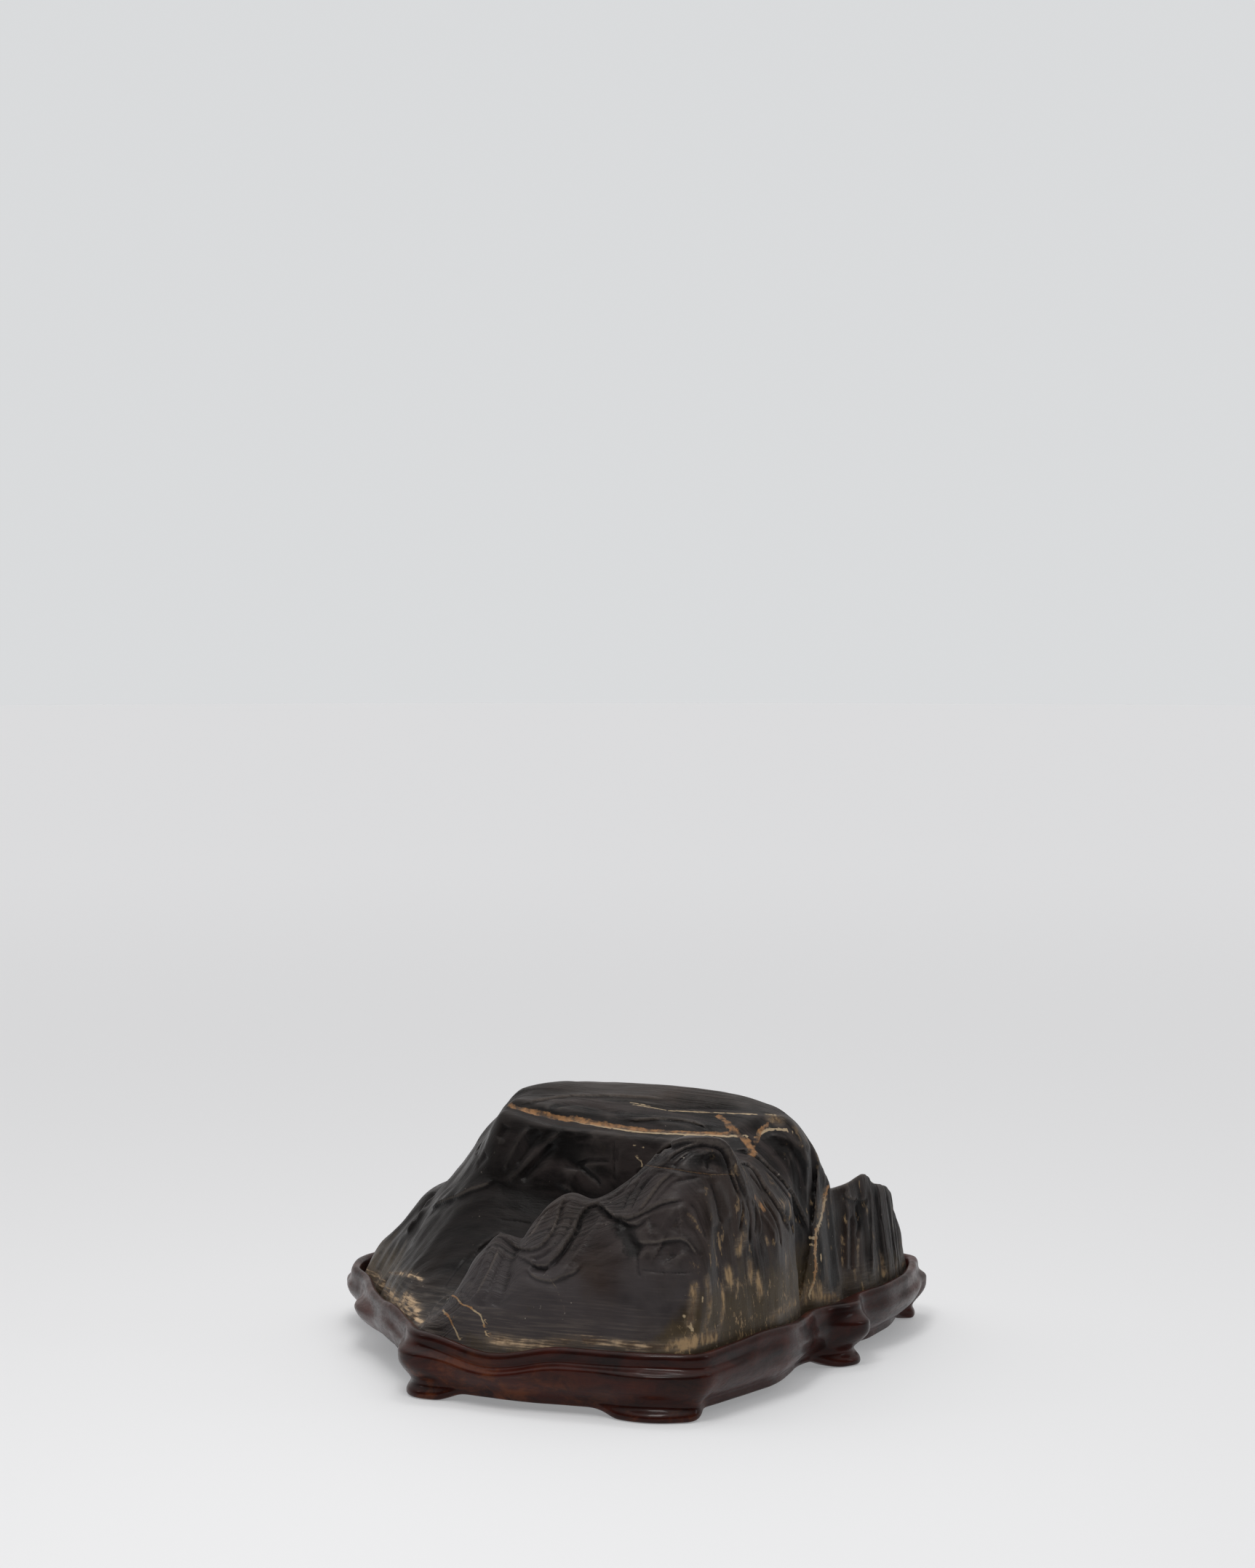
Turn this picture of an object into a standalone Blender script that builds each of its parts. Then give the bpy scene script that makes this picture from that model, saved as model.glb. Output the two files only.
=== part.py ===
"""A scholar's rock resting in its carved wooden stand. Lengths are in millimetres until the mesh is made."""

import math

import bmesh
import bpy
import numpy as np

MM = 0.001

# Driving dimensions. The drawing frame has its origin at the front right corner of the stone's foot.
CENTRE_X = -97.0
CENTRE_Y = 117.4
RIM_HEIGHT = 27.0
FLOOR_OF_SEAT = 11.7
SEAT_GAP = 0.3
SIDE_GAP = 0.6
STONE_FOOT = FLOOR_OF_SEAT + SEAT_GAP
CLIFF_START = 21.0
UNDERSIDE = 7.0
APRON_LIFT = 2.8
CORNER_ROUNDING = 26
STATIONS = 132
GRID = 130
STONE_TRIANGLES = 5950
EDGE_CROWDING = 0.072
HILL_STEEPNESS = 2.6
CLIFF_STEEPNESS = 9.0
CLIFF_CORNER = (-28, 4)

# The line where the stone meets the stand, seen from above: x, y.
FRONT_EDGE = [(-118, 2), (-100, -2), (-72, -5), (-48, -3), (-24, -1), (-1, 5)]
RIGHT_EDGE = [(-1, 5), (4, 25), (9, 48), (12, 66), (10, 86), (8, 100), (12, 122), (13, 142), (17, 166),
              (17, 184), (13, 208), (6, 229)]
BACK_EDGE = [(-176, 214), (-150, 227), (-118, 235), (-88, 233), (-58, 238), (-26, 239), (6, 229)]
LEFT_EDGE = [(-118, 2), (-137, 25), (-156, 46), (-174, 69), (-190, 94), (-205, 112), (-211, 134),
             (-206, 162), (-195, 191), (-176, 214)]

# Dents in the stone's foot that leave a gap to the stand: x, y of the middle, half width, how deep.
FOOT_DENTS = [(-183, 82, 11, 3.2), (8, 103, 8, 2.6), (13, 140, 7, 2.0)]

# Grooves down the right cliff: y of the foot, how far they lean back per height, half width, how deep.
CLIFF_GROOVES = [(46, 0.04, 2.2, 1.5), (60, 0, 2.0, 1.0), (76, 0, 2.4, 1.3), (90, 0, 2.2, 1.2),
                 (89, 0.34, 2.6, 3.0), (127, 0, 5.0, 1.6), (145, 0, 2.2, 1.4), (157, 0, 2.0, 1.3),
                 (173, 0, 3.0, 2.0), (188, 0, 2.4, 1.4), (201, 0, 2.4, 1.4)]

# Feature lines of the stone from front to back: x, y, z of points along each, left to right.
FRONT_FOOT = [(-230, 0, 18), (-118, 2, 20), (-100, -2, 19), (-72, -5, 19), (-48, -3, 22), (-24, -1, 24),
              (-1, 5, 25), (30, 14, 25)]
FRONT_CREST = [(-230, 3, 8), (-130, 7, 19), (-122, 9, 26), (-111, 14, 39), (-101, 20, 56), (-93, 22, 64),
               (-85, 24, 62), (-80, 26, 69), (-73, 28, 77), (-65, 30, 81), (-57, 31, 79), (-50, 32, 82),
               (-34, 33, 94), (-26, 33, 101), (-16, 35, 106), (-7, 40, 105), (-2, 45, 98), (1, 50, 88),
               (4, 55, 70), (12, 62, 46), (30, 70, 20)]
FRONT_VALLEY = [(-230, 52, 8), (-160, 50, 27), (-145, 46, 33), (-130, 44, 36), (-115, 44, 38),
                (-100, 46, 44), (-85, 48, 46), (-70, 52, 56), (-55, 54, 62), (-40, 55, 72), (-25, 58, 90),
                (-14, 62, 94), (-6, 64, 91), (1, 66, 80), (7, 68, 70), (14, 72, 56), (30, 76, 30)]
CLIFF_FOOT = [(-230, 80, 4), (-176, 74, 26), (-165, 73, 37), (-150, 72, 52), (-135, 72, 64),
              (-118, 74, 71), (-100, 76, 70), (-80, 77, 68), (-60, 77, 72), (-42, 77, 80), (-25, 78, 90),
              (-12, 79, 91), (-5, 79, 88), (3, 79, 78), (9, 79, 69), (14, 79, 58), (30, 80, 30)]
CLIFF_TOP = [(-230, 97, 0), (-186, 94, 26), (-176, 93, 38), (-160, 92, 59), (-146, 91, 73),
             (-134, 89, 89), (-122, 86, 102), (-109, 84, 100), (-96, 83, 98), (-73, 83, 97), (-48, 85, 96),
             (-25, 92, 95), (-14, 96, 92), (-5, 97, 85), (5, 98, 73), (11, 99, 60), (30, 99, 30)]
LEDGE = [(-230, 101, 0), (-192, 99, 26), (-178, 98, 43), (-162, 97, 60), (-148, 95, 72),
         (-135, 93, 90), (-123, 91, 103.5), (-109, 90, 101.5), (-96, 89, 99.5), (-73, 90, 98.5),
         (-48, 91, 98), (-25, 98, 97.5), (-11, 106, 97), (-3, 108, 94), (4, 109, 86), (10, 109, 72),
         (30, 109, 40)]
CAP_LOW = [(-230, 105, 0), (-196, 103, 26), (-182, 102, 43), (-165, 101, 58), (-150, 99, 73),
           (-137, 97, 89), (-127, 95, 102), (-121, 95, 107), (-109, 94, 106), (-96, 93, 104),
           (-73, 94, 103), (-48, 95, 102), (-25, 101, 101), (-13, 108, 101), (-5, 110, 99), (3, 111, 90),
           (9, 111, 75), (30, 111, 40)]
CAP_MIDDLE = [(-230, 112, 0), (-203, 110, 26), (-188, 110, 40), (-170, 109, 58), (-154, 108, 73),
              (-140, 107, 90), (-129, 106, 104), (-120, 105, 108), (-72, 106, 107), (-47, 106, 105),
              (-19, 109, 105), (-8, 113, 104), (0, 115, 96), (6, 115, 84), (11, 115, 72), (30, 115, 40)]
CAP_FRONT = [(-230, 124, 0), (-208, 122, 28), (-189, 125, 46), (-179, 126, 58), (-166, 126, 67),
             (-157, 124, 77), (-149, 121, 87), (-139, 118, 97), (-127, 116, 109), (-103, 121, 112),
             (-59, 122, 112), (-36, 122, 111), (-17, 122, 107), (-6, 122, 101), (1, 122, 93), (9, 124, 77),
             (14, 124, 66), (30, 124, 40)]
CAP_BACK = [(-230, 142, 0), (-211, 140, 24), (-200, 140, 31), (-186, 140, 42), (-170, 140, 57),
            (-156, 140, 71), (-142, 140, 88), (-130, 140, 101), (-112, 140, 108), (-80, 142, 109),
            (-55, 142, 107), (-38, 140, 102), (-26, 138, 94), (-15, 138, 84), (-6, 139, 75), (2, 140, 70),
            (8, 140, 71), (14, 140, 66), (30, 140, 50)]
PEAK_ROW = [(-230, 165, 0), (-206, 162, 23), (-190, 162, 34), (-172, 162, 48), (-156, 162, 62),
            (-142, 162, 76), (-128, 162, 88), (-108, 163, 96), (-85, 164, 98), (-62, 164, 94),
            (-44, 163, 85), (-30, 162, 73), (-16, 162, 64), (-4, 162, 65), (5, 162, 71), (10, 162, 74),
            (15, 162, 68), (30, 162, 50)]
BACK_VALLEY = [(-230, 182, 0), (-200, 178, 27), (-180, 178, 45), (-162, 179, 56), (-145, 180, 66),
               (-125, 181, 74), (-105, 182, 78), (-80, 182, 76), (-58, 181, 70), (-40, 180, 62),
               (-25, 179, 56), (-10, 178, 57), (2, 178, 64), (9, 178, 67), (14, 178, 60), (30, 178, 40)]
BACK_CREST = [(-230, 198, 0), (-192, 195, 27), (-175, 196, 46), (-158, 198, 62), (-140, 199, 71),
              (-120, 200, 75), (-98, 200, 68), (-80, 199, 58), (-60, 198, 62), (-42, 197, 53),
              (-25, 196, 47), (-10, 194, 53), (1, 192, 61), (9, 192, 64), (14, 192, 56), (30, 192, 36)]
BACK_SLOPE = [(-230, 212, 0), (-180, 208, 28), (-160, 209, 42), (-140, 210, 50), (-118, 211, 53),
              (-95, 210, 44), (-75, 209, 39), (-55, 209, 44), (-35, 207, 36), (-15, 206, 40),
              (0, 204, 50), (8, 204, 51), (13, 204, 44), (30, 204, 30)]
BACK_FOOT = [(-230, 214, 18), (-176, 214, 20), (-150, 227, 20), (-118, 235, 20), (-88, 233, 21),
             (-58, 238, 20), (-26, 239, 20), (6, 229, 22), (30, 226, 22)]

# The stand's feet along its wall: x, y of the middle, half width, and how far the rim, the belly and the
# foot stand out beyond the plain wall.
FEET = [(-118, 2, 20, 1.6, 3.0, 5.2), (-16, -3, 27, 0.6, 2.4, 5.6), (13, 126, 17, 1.4, 7.0, 8.0),
        (5, 229, 14, 0.8, 3.0, 2.4), (-66, 238, 16, 0.5, 2.0, 3.0), (-176, 214, 20, 1.0, 3.5, 3.6),
        (-211, 134, 18, 0.5, 2.0, 2.4)]
# Rounded bulges of the wall between the feet: x, y of the middle, half width, how far out.
LOBES = [(-176, 72, 26, 4.0), (-210, 124, 24, 1.4), (14, 205, 26, 1.0), (-112, 235, 20, 1.5)]
# Low and high stretches of the rim: x, y of the middle, half width, how far down (up where negative).
RIM_DIPS = [(-84, -4, 32, 4.8), (-147, 36, 22, -1.5), (8, 50, 42, -1.8), (-118, 235, 20, 2.0)]
# How far the lower wall is tucked in between the feet: x, y of the middle of the stretch, how far.
TUCKS = [(-60, -4, 2.0), (10, 66, 4.5), (16, 180, 6.0), (-30, 239, 5.0), (-130, 232, 5.0),
         (-200, 180, 7.0), (-172, 66, 8.0)]


def clear_scene():
    for old in list(bpy.data.objects):
        bpy.data.objects.remove(old, do_unlink=True)


def end_safe_slopes(step, rise):
    """Slopes of a curve that passes through its points without overshooting; one row per point."""
    slope = np.zeros((len(rise) + 1,) + rise.shape[1:])
    same_way = rise[:-1] * rise[1:] > 0
    before = 2 * step[1:] + step[:-1]
    after = step[1:] + 2 * step[:-1]
    with np.errstate(divide="ignore", invalid="ignore"):
        mean = (before + after) / (before / rise[:-1] + after / rise[1:])
    slope[1:-1] = np.where(same_way, mean, 0.0)
    slope[0] = rise[0]
    slope[-1] = rise[-1]
    return slope


def curve_at(knots, values, where):
    """Values of the smooth curve through the points, at any positions inside their range."""
    knots = np.asarray(knots, float)
    values = np.asarray(values, float)
    step = np.diff(knots)
    slope = end_safe_slopes(step, np.diff(values) / step)
    k = np.clip(np.searchsorted(knots, where, side="right") - 1, 0, len(step) - 1)
    t = (where - knots[k]) / step[k]
    return blend(t, step[k], values[k], values[k + 1], slope[k], slope[k + 1])


def blend(t, step, start, end, slope_start, slope_end):
    square = t * t
    cube = square * t
    return ((2 * cube - 3 * square + 1) * start + (3 * square - 2 * cube) * end
            + (cube - 2 * square + t) * step * slope_start + (cube - square) * step * slope_end)


def line_at(line, x):
    """The y and z of one feature line above each x."""
    points = np.array(line, float)
    return curve_at(points[:, 0], points[:, 1], x), curve_at(points[:, 0], points[:, 2], x)


def feature_rows(x):
    """All feature lines above each x, with the front face and the crests' backs filled in between."""
    foot_y, foot_z = line_at(FRONT_FOOT, x)
    crest_y, crest_z = line_at(FRONT_CREST, x)
    valley_y, valley_z = line_at(FRONT_VALLEY, x)
    rows = [(foot_y - 20, foot_z - 8), (foot_y, foot_z)]
    for share_y, share_z in ((0.26, 0.44), (0.62, 0.80)):
        rows.append((foot_y + share_y * (crest_y - foot_y), foot_z + share_z * (crest_z - foot_z)))
    rows.append((crest_y, crest_z))
    rows.append((crest_y + 0.4 * (valley_y - crest_y), crest_z + 0.35 * (valley_z - crest_z)))
    rows.append((valley_y, valley_z))
    for line in (CLIFF_FOOT, CLIFF_TOP, LEDGE, CAP_LOW, CAP_MIDDLE, CAP_FRONT, CAP_BACK, PEAK_ROW,
                 BACK_VALLEY, BACK_CREST, BACK_SLOPE, BACK_FOOT):
        rows.append(line_at(line, x))
    back_y, back_z = rows[-1]
    rows.append((back_y + 20, back_z - 8))
    return np.array([r[0] for r in rows]), np.array([r[1] for r in rows])


def summit_height(x, y):
    """Height of the stone's upper surface, before its cliffs."""
    row_y, row_z = feature_rows(x)
    step = np.maximum(np.diff(row_y, axis=0), 0.5)
    slope = end_safe_slopes(step, np.diff(row_z, axis=0) / step)
    height = np.array(row_z[0])
    for k in range(len(step)):
        t = np.clip((y - row_y[k]) / step[k], 0, 1)
        part = blend(t, step[k], row_z[k], row_z[k + 1], slope[k], slope[k + 1])
        height = np.where(y >= row_y[k], part, height)
    return height


def smooth_edge(points, count):
    """One edge of the outline, resampled evenly along a curve through its points."""
    points = np.array(points, float)
    along = np.concatenate([[0], np.cumsum(np.hypot(*np.diff(points, axis=0).T))])
    where = np.linspace(0, along[-1], count)
    return np.stack([curve_at(along, points[:, i], where) for i in (0, 1)], axis=1)


def seat_outline(count):
    """The closed line of the seat, anticlockwise from its front left corner, with rounded corners."""
    edges = [smooth_edge(FRONT_EDGE, 200), smooth_edge(RIGHT_EDGE, 300),
             smooth_edge(BACK_EDGE, 300)[::-1], smooth_edge(LEFT_EDGE, 300)[::-1]]
    loop = resample(np.concatenate([e[:-1] for e in edges]), 1200)
    for _ in range(CORNER_ROUNDING):
        loop = 0.5 * loop + 0.25 * (np.roll(loop, 1, 0) + np.roll(loop, -1, 0))
    return resample(loop, count)


def resample(loop, count):
    closed = np.vstack([loop, loop[:1]])
    along = np.concatenate([[0], np.cumsum(np.hypot(*np.diff(closed, axis=0).T))])
    where = np.linspace(0, along[-1], count, endpoint=False)
    return np.stack([np.interp(where, along, closed[:, i]) for i in (0, 1)], axis=1)


def outward(loop):
    """Unit normals that point away from an anticlockwise loop."""
    along = np.roll(loop, -1, 0) - np.roll(loop, 1, 0)
    normal = np.stack([along[:, 1], -along[:, 0]], axis=1)
    return normal / np.hypot(*normal.T)[:, None]


def depth_inside(outline, x, y):
    """Distance inside the outline, negative outside it."""
    best = np.full(x.shape, 1e9)
    sign = np.ones(x.shape)
    for a, b in zip(outline, np.roll(outline, -1, 0)):
        ab = b - a
        t = np.clip(((x - a[0]) * ab[0] + (y - a[1]) * ab[1]) / (ab @ ab), 0, 1)
        dx = x - (a[0] + t * ab[0])
        dy = y - (a[1] + t * ab[1])
        gap = np.hypot(dx, dy)
        near = gap < best
        best = np.where(near, gap, best)
        sign = np.where(near, np.where(ab[0] * dy - ab[1] * dx >= 0, 1, -1), sign)
    return best * sign


def smooth_min(a, b, width):
    share = np.clip(0.5 + 0.5 * (b - a) / width, 0, 1)
    return b + (a - b) * share - width * share * (1 - share)


def bump(value, centre, width):
    return np.exp(-((value - centre) / width) ** 2)


def cliff_ribs(y, z):
    """How far the right cliff is cut back, along its length: ribs and the grooves between them."""
    return sum(deep * bump(y, foot + lean * z, wide) for foot, lean, wide, deep in CLIFF_GROOVES)


def layer_relief(x, y):
    """Ridges along the edges of the upright layers, which run across the stone from left to right."""
    bent = y + 2.4 * np.sin(x / 17) + 1.2 * np.sin(x / 7.3 + 1)
    coarse = 1 - 2 * np.abs(np.sin(math.pi * bent / 9.5))
    fine = 1 - 2 * np.abs(np.sin(math.pi * (bent + 1.7) / 5.3))
    plateau = bump(np.clip(y, 88, 150), 119, 26)
    return (0.9 * coarse + 0.45 * fine) * (1 - 0.75 * plateau) * (1 - left_hillside(x, y))


def left_hillside(x, y):
    """1 on the open slope that falls to the left from the summit, 0 elsewhere."""
    return 1 / (1 + np.exp((x + 118) / 5)) / (1 + np.exp((46 - y) / 5))


def hillside_folds(x, y):
    """Soft ribs that run down the left hillside."""
    across = -0.62 * x + 0.78 * y
    wave = np.sin(2 * math.pi * across / 21 + 1.2) + 0.5 * np.sin(2 * math.pi * across / 9.4 + 0.6 * y / 10)
    return wave * left_hillside(x, y) * (1 - 0.8 * bump(y, 122, 18))


def wall_height(x, y, outline):
    """Height allowed by the cliffs that rise from the foot of the stone."""
    inside = depth_inside(outline, x, y)
    corner, width = CLIFF_CORNER
    right = np.clip((y - 6) / 14, 0, 1) / (1 + np.exp((corner - x) / width))
    steep = HILL_STEEPNESS + right * (CLIFF_STEEPNESS + 6 * bump(y, 80, 26) - HILL_STEEPNESS)
    steep += 20 * np.clip((26 - y) / 18, 0, 1)
    guess = CLIFF_START + steep * np.maximum(inside, 0)
    cut = right * cliff_ribs(y, np.minimum(guess, 95)) * np.clip(inside / 2.0, 0, 1)
    return CLIFF_START + steep * (inside - cut)


def stone_height(x, y, outline):
    top = summit_height(x, y) + layer_relief(x, y) + hillside_folds(x, y)
    height = smooth_min(top, wall_height(x, y, outline), 7.0)
    return np.maximum(height, 15.0)


def coons_grid(outline, count):
    """A square grid of points that fills the outline, and its four corner places."""
    corners = [int(np.argmin(np.hypot(*(outline - np.array(c)).T)))
               for c in (FRONT_EDGE[0], FRONT_EDGE[-1], RIGHT_EDGE[-1], BACK_EDGE[0])]
    even = np.linspace(0, 1, count)
    eased = even - EDGE_CROWDING * np.sin(2 * math.pi * even)
    sides = []
    for start, end in zip(corners, corners[1:] + corners[:1]):
        run = np.arange(start, end + 1 if end > start else end + len(outline) + 1) % len(outline)
        piece = outline[run]
        along = np.concatenate([[0], np.cumsum(np.hypot(*np.diff(piece, axis=0).T))])
        sides.append(np.stack([np.interp(eased * along[-1], along, piece[:, i]) for i in (0, 1)], axis=1))
    front, right, back, left = sides[0], sides[1], sides[2][::-1], sides[3][::-1]
    u = eased[None, :, None]
    v = eased[:, None, None]
    ruled = ((1 - v) * front[None] + v * back[None] + (1 - u) * left[:, None] + u * right[:, None])
    flat = ((1 - u) * (1 - v) * front[0] + u * (1 - v) * front[-1]
            + (1 - u) * v * back[0] + u * v * back[-1])
    return ruled - flat


def stone_outline():
    """The stone's foot, just inside the line of the seat and dented in a few places."""
    outline = seat_outline(600)
    inset = np.full(len(outline), SIDE_GAP)
    for x, y, half, deep in FOOT_DENTS:
        inset += deep * soft_step(along_gap(outline, (x, y)), half)
    return outline - outward(outline) * inset[:, None]


def stone_mesh():
    outline = stone_outline()
    grid = coons_grid(outline, GRID)
    x, y = grid[..., 0], grid[..., 1]
    z = stone_height(x.ravel(), y.ravel(), outline).reshape(x.shape)
    mesh = bmesh.new()
    top = [[mesh.verts.new(place(x[j, i], y[j, i], z[j, i])) for i in range(GRID)] for j in range(GRID)]
    low = [[mesh.verts.new(place(x[j, i], y[j, i], STONE_FOOT)) for i in range(GRID)] for j in range(GRID)]
    for j in range(GRID - 1):
        for i in range(GRID - 1):
            mesh.faces.new((top[j][i], top[j][i + 1], top[j + 1][i + 1], top[j + 1][i]))
            mesh.faces.new((low[j][i], low[j + 1][i], low[j + 1][i + 1], low[j][i + 1]))
    ring = [(0, i) for i in range(GRID - 1)] + [(j, GRID - 1) for j in range(GRID - 1)]
    ring += [(GRID - 1, i) for i in range(GRID - 1, 0, -1)] + [(j, 0) for j in range(GRID - 1, 0, -1)]
    for (j, i), (n, m) in zip(ring, ring[1:] + ring[:1]):
        mesh.faces.new((low[j][i], low[n][m], top[n][m], top[j][i]))
    return mesh


def place(x, y, z):
    """A drawing point in metres, in the part's own frame."""
    return ((x - CENTRE_X) * MM, (y - CENTRE_Y) * MM, z * MM)


def make_object(mesh, name, material):
    data = bpy.data.meshes.new(name)
    bmesh.ops.recalc_face_normals(mesh, faces=mesh.faces)
    mesh.to_mesh(data)
    mesh.free()
    made = bpy.data.objects.new(name, data)
    bpy.context.scene.collection.objects.link(made)
    data.materials.append(material)
    return made


def plain_material(name, colour, roughness):
    material = bpy.data.materials.new(name)
    material.use_nodes = True
    shader = material.node_tree.nodes["Principled BSDF"]
    shader.inputs["Base Color"].default_value = (*colour, 1)
    shader.inputs["Roughness"].default_value = roughness
    shader.inputs["Metallic"].default_value = 0.0
    return material


def make_stone():
    stone = make_object(stone_mesh(), "stone", plain_material("dark_limestone", (0.055, 0.05, 0.046), 0.45))
    thin = stone.modifiers.new("fewer_triangles", "DECIMATE")
    thin.ratio = STONE_TRIANGLES / (4 * GRID * GRID)
    return stone


def along_gap(loop, spot):
    """Distance along the loop from the point nearest a spot, either way round."""
    closed = np.vstack([loop, loop[:1]])
    along = np.concatenate([[0], np.cumsum(np.hypot(*np.diff(closed, axis=0).T))])
    here = along[int(np.argmin(np.hypot(*(loop - np.array(spot)).T)))]
    away = np.abs(along[:-1] - here)
    return np.minimum(away, along[-1] - away)


def soft_step(gap, half_width):
    t = np.clip(gap / half_width, 0, 1)
    return (1 + np.cos(math.pi * t)) / 2


def tuck_along(loop):
    """The tuck at each point of the loop, eased between the stretches in TUCKS."""
    total = np.zeros(len(loop))
    weight = np.zeros(len(loop))
    for x, y, tuck in TUCKS:
        near = np.exp(-(along_gap(loop, (x, y)) / 30) ** 2) + 1e-6
        total += tuck * near
        weight += near
    return total / weight


def stand_rings():
    """Rings of the stand from the middle of its seat, over the rim and down to its underside."""
    loop = seat_outline(STATIONS)
    normal = outward(loop)
    flat = np.zeros(len(loop))
    rim_out, belly, foot_out, foot = flat.copy(), flat.copy(), flat.copy(), flat.copy()
    rim = flat + RIM_HEIGHT
    for x, y, half, rim_more, belly_more, foot_more in FEET:
        shape = soft_step(along_gap(loop, (x, y)), half)
        rim_out += rim_more * shape
        belly += belly_more * shape
        foot_out += foot_more * shape
        foot = np.maximum(foot, np.clip(shape * 2.4, 0, 1))
    for x, y, half, more in LOBES:
        belly += more * soft_step(along_gap(loop, (x, y)), half)
    for x, y, half, less in RIM_DIPS:
        rim -= less * soft_step(along_gap(loop, (x, y)), half)
    lift = APRON_LIFT * (1 - foot)
    tuck = tuck_along(loop) * (1 - foot)
    rings = [(flat, flat + FLOOR_OF_SEAT),
             (flat + 0.1, rim - 1.4),
             (flat + 1.0, rim - 0.2),
             (2.8 + rim_out, rim),
             (4.2 + rim_out, rim - 1.6),
             (3.8 + rim_out, rim - 3.8),
             (5.2 + rim_out + 0.6 * belly, rim - 5.2),
             (6.2 + rim_out + belly, rim - 7.6),
             (5.8 + rim_out + belly - 0.2 * tuck, flat + 14.5),
             (3.8 + 0.7 * (rim_out + belly) - 0.5 * tuck, 9.6 + 0.2 * lift),
             (1.8 + 0.4 * belly + 0.4 * foot_out - 0.9 * tuck, 6.2 + 0.3 * lift),
             (1.6 + 0.9 * foot_out - tuck, 3.6 + 0.6 * lift),
             (1.2 + foot_out - tuck, lift),
             (-5.0 - tuck, lift),
             (-6.5 - tuck, flat + UNDERSIDE)]
    return [np.column_stack([loop + normal * out[:, None], height]) for out, height in rings]


def stand_mesh():
    rings = stand_rings()
    mesh = bmesh.new()
    made = [[mesh.verts.new(place(*point)) for point in ring] for ring in rings]
    count = len(made[0])
    for inner, outer in zip(made, made[1:]):
        for i in range(count):
            n = (i + 1) % count
            mesh.faces.new((inner[i], outer[i], outer[n], inner[n]))
    for ring, height in ((made[0], FLOOR_OF_SEAT), (made[-1], UNDERSIDE)):
        middle = mesh.verts.new(place(CENTRE_X, CENTRE_Y + 10, height))
        for i in range(count):
            mesh.faces.new((ring[i], ring[(i + 1) % count], middle))
    return mesh


def make_stand():
    return make_object(stand_mesh(), "stand", plain_material("dark_rosewood", (0.075, 0.022, 0.014), 0.35))


clear_scene()
make_stone()
make_stand()
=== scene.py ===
import math
import bmesh
import bpy
import numpy as np
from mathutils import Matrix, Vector
from mathutils.bvhtree import BVHTree


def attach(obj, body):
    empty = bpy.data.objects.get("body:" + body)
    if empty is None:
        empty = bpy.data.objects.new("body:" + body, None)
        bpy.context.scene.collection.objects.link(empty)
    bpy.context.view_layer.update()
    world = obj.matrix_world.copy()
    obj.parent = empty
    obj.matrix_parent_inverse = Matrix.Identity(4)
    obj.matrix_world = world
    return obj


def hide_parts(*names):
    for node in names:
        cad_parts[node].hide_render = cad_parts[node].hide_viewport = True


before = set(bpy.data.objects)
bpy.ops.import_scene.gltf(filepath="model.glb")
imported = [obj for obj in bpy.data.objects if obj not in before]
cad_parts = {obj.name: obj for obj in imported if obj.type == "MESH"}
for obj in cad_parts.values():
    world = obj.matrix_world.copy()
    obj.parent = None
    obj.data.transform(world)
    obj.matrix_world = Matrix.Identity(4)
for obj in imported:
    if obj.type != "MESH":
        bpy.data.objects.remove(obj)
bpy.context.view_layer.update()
mm = 0.001
drawingCentre = (-97.0, 117.4)  # the object's middle in the drawing's own millimetres


def toFrame(points):  # drawing millimetres to the frame's metres
    moved = np.array(points, float)
    moved[..., 0] -= drawingCentre[0]
    moved[..., 1] -= drawingCentre[1]
    return moved * mm


def toDrawing(points):
    moved = np.array(points, float) / mm
    moved[..., 0] += drawingCentre[0]
    moved[..., 1] += drawingCentre[1]
    return moved


def deselectAll():
    bpy.ops.object.select_all(action="DESELECT")


def takeActive(name):
    made = bpy.context.active_object
    made.name = name
    made.data.name = name
    return made


def makeActive(thing):
    deselectAll()
    thing.select_set(True)
    bpy.context.view_layer.objects.active = thing


def applyModifier(thing, kind, **values):
    makeActive(thing)
    modifier = thing.modifiers.new(kind.lower(), kind)
    for key, value in values.items():
        setattr(modifier, key, value)
    bpy.ops.object.modifier_apply(modifier=modifier.name)


def getPoints(thing):
    flat = np.zeros(len(thing.data.vertices) * 3, np.float32)
    thing.data.vertices.foreach_get("co", flat)
    return flat.reshape(-1, 3).astype(float)


def setPoints(thing, points):
    thing.data.vertices.foreach_set("co", np.asarray(points, np.float32).ravel())
    thing.data.update()


def getNormals(thing):
    flat = np.zeros(len(thing.data.vertices) * 3, np.float32)
    thing.data.vertex_normals.foreach_get("vector", flat)
    return flat.reshape(-1, 3).astype(float)


def keepAttribute(thing, name, values):
    layer = thing.data.attributes.new(name, "FLOAT", "POINT")
    layer.data.foreach_set("value", np.asarray(values, np.float32))


def endSafeSlopes(step, rise):  # slopes of a curve that never overshoots its points
    slope = np.zeros((len(rise) + 1,) + rise.shape[1:])
    sameWay = rise[:-1] * rise[1:] > 0
    before = 2 * step[1:] + step[:-1]
    after = step[1:] + 2 * step[:-1]
    with np.errstate(divide="ignore", invalid="ignore"):
        mean = (before + after) / (before / rise[:-1] + after / rise[1:])
    slope[1:-1] = np.where(sameWay, mean, 0.0)
    slope[0] = rise[0]
    slope[-1] = rise[-1]
    return slope


def curvePiece(t, step, start, end, slopeStart, slopeEnd):
    square = t * t
    cube = square * t
    return ((2 * cube - 3 * square + 1) * start + (3 * square - 2 * cube) * end
            + (cube - 2 * square + t) * step * slopeStart + (cube - square) * step * slopeEnd)


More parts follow.
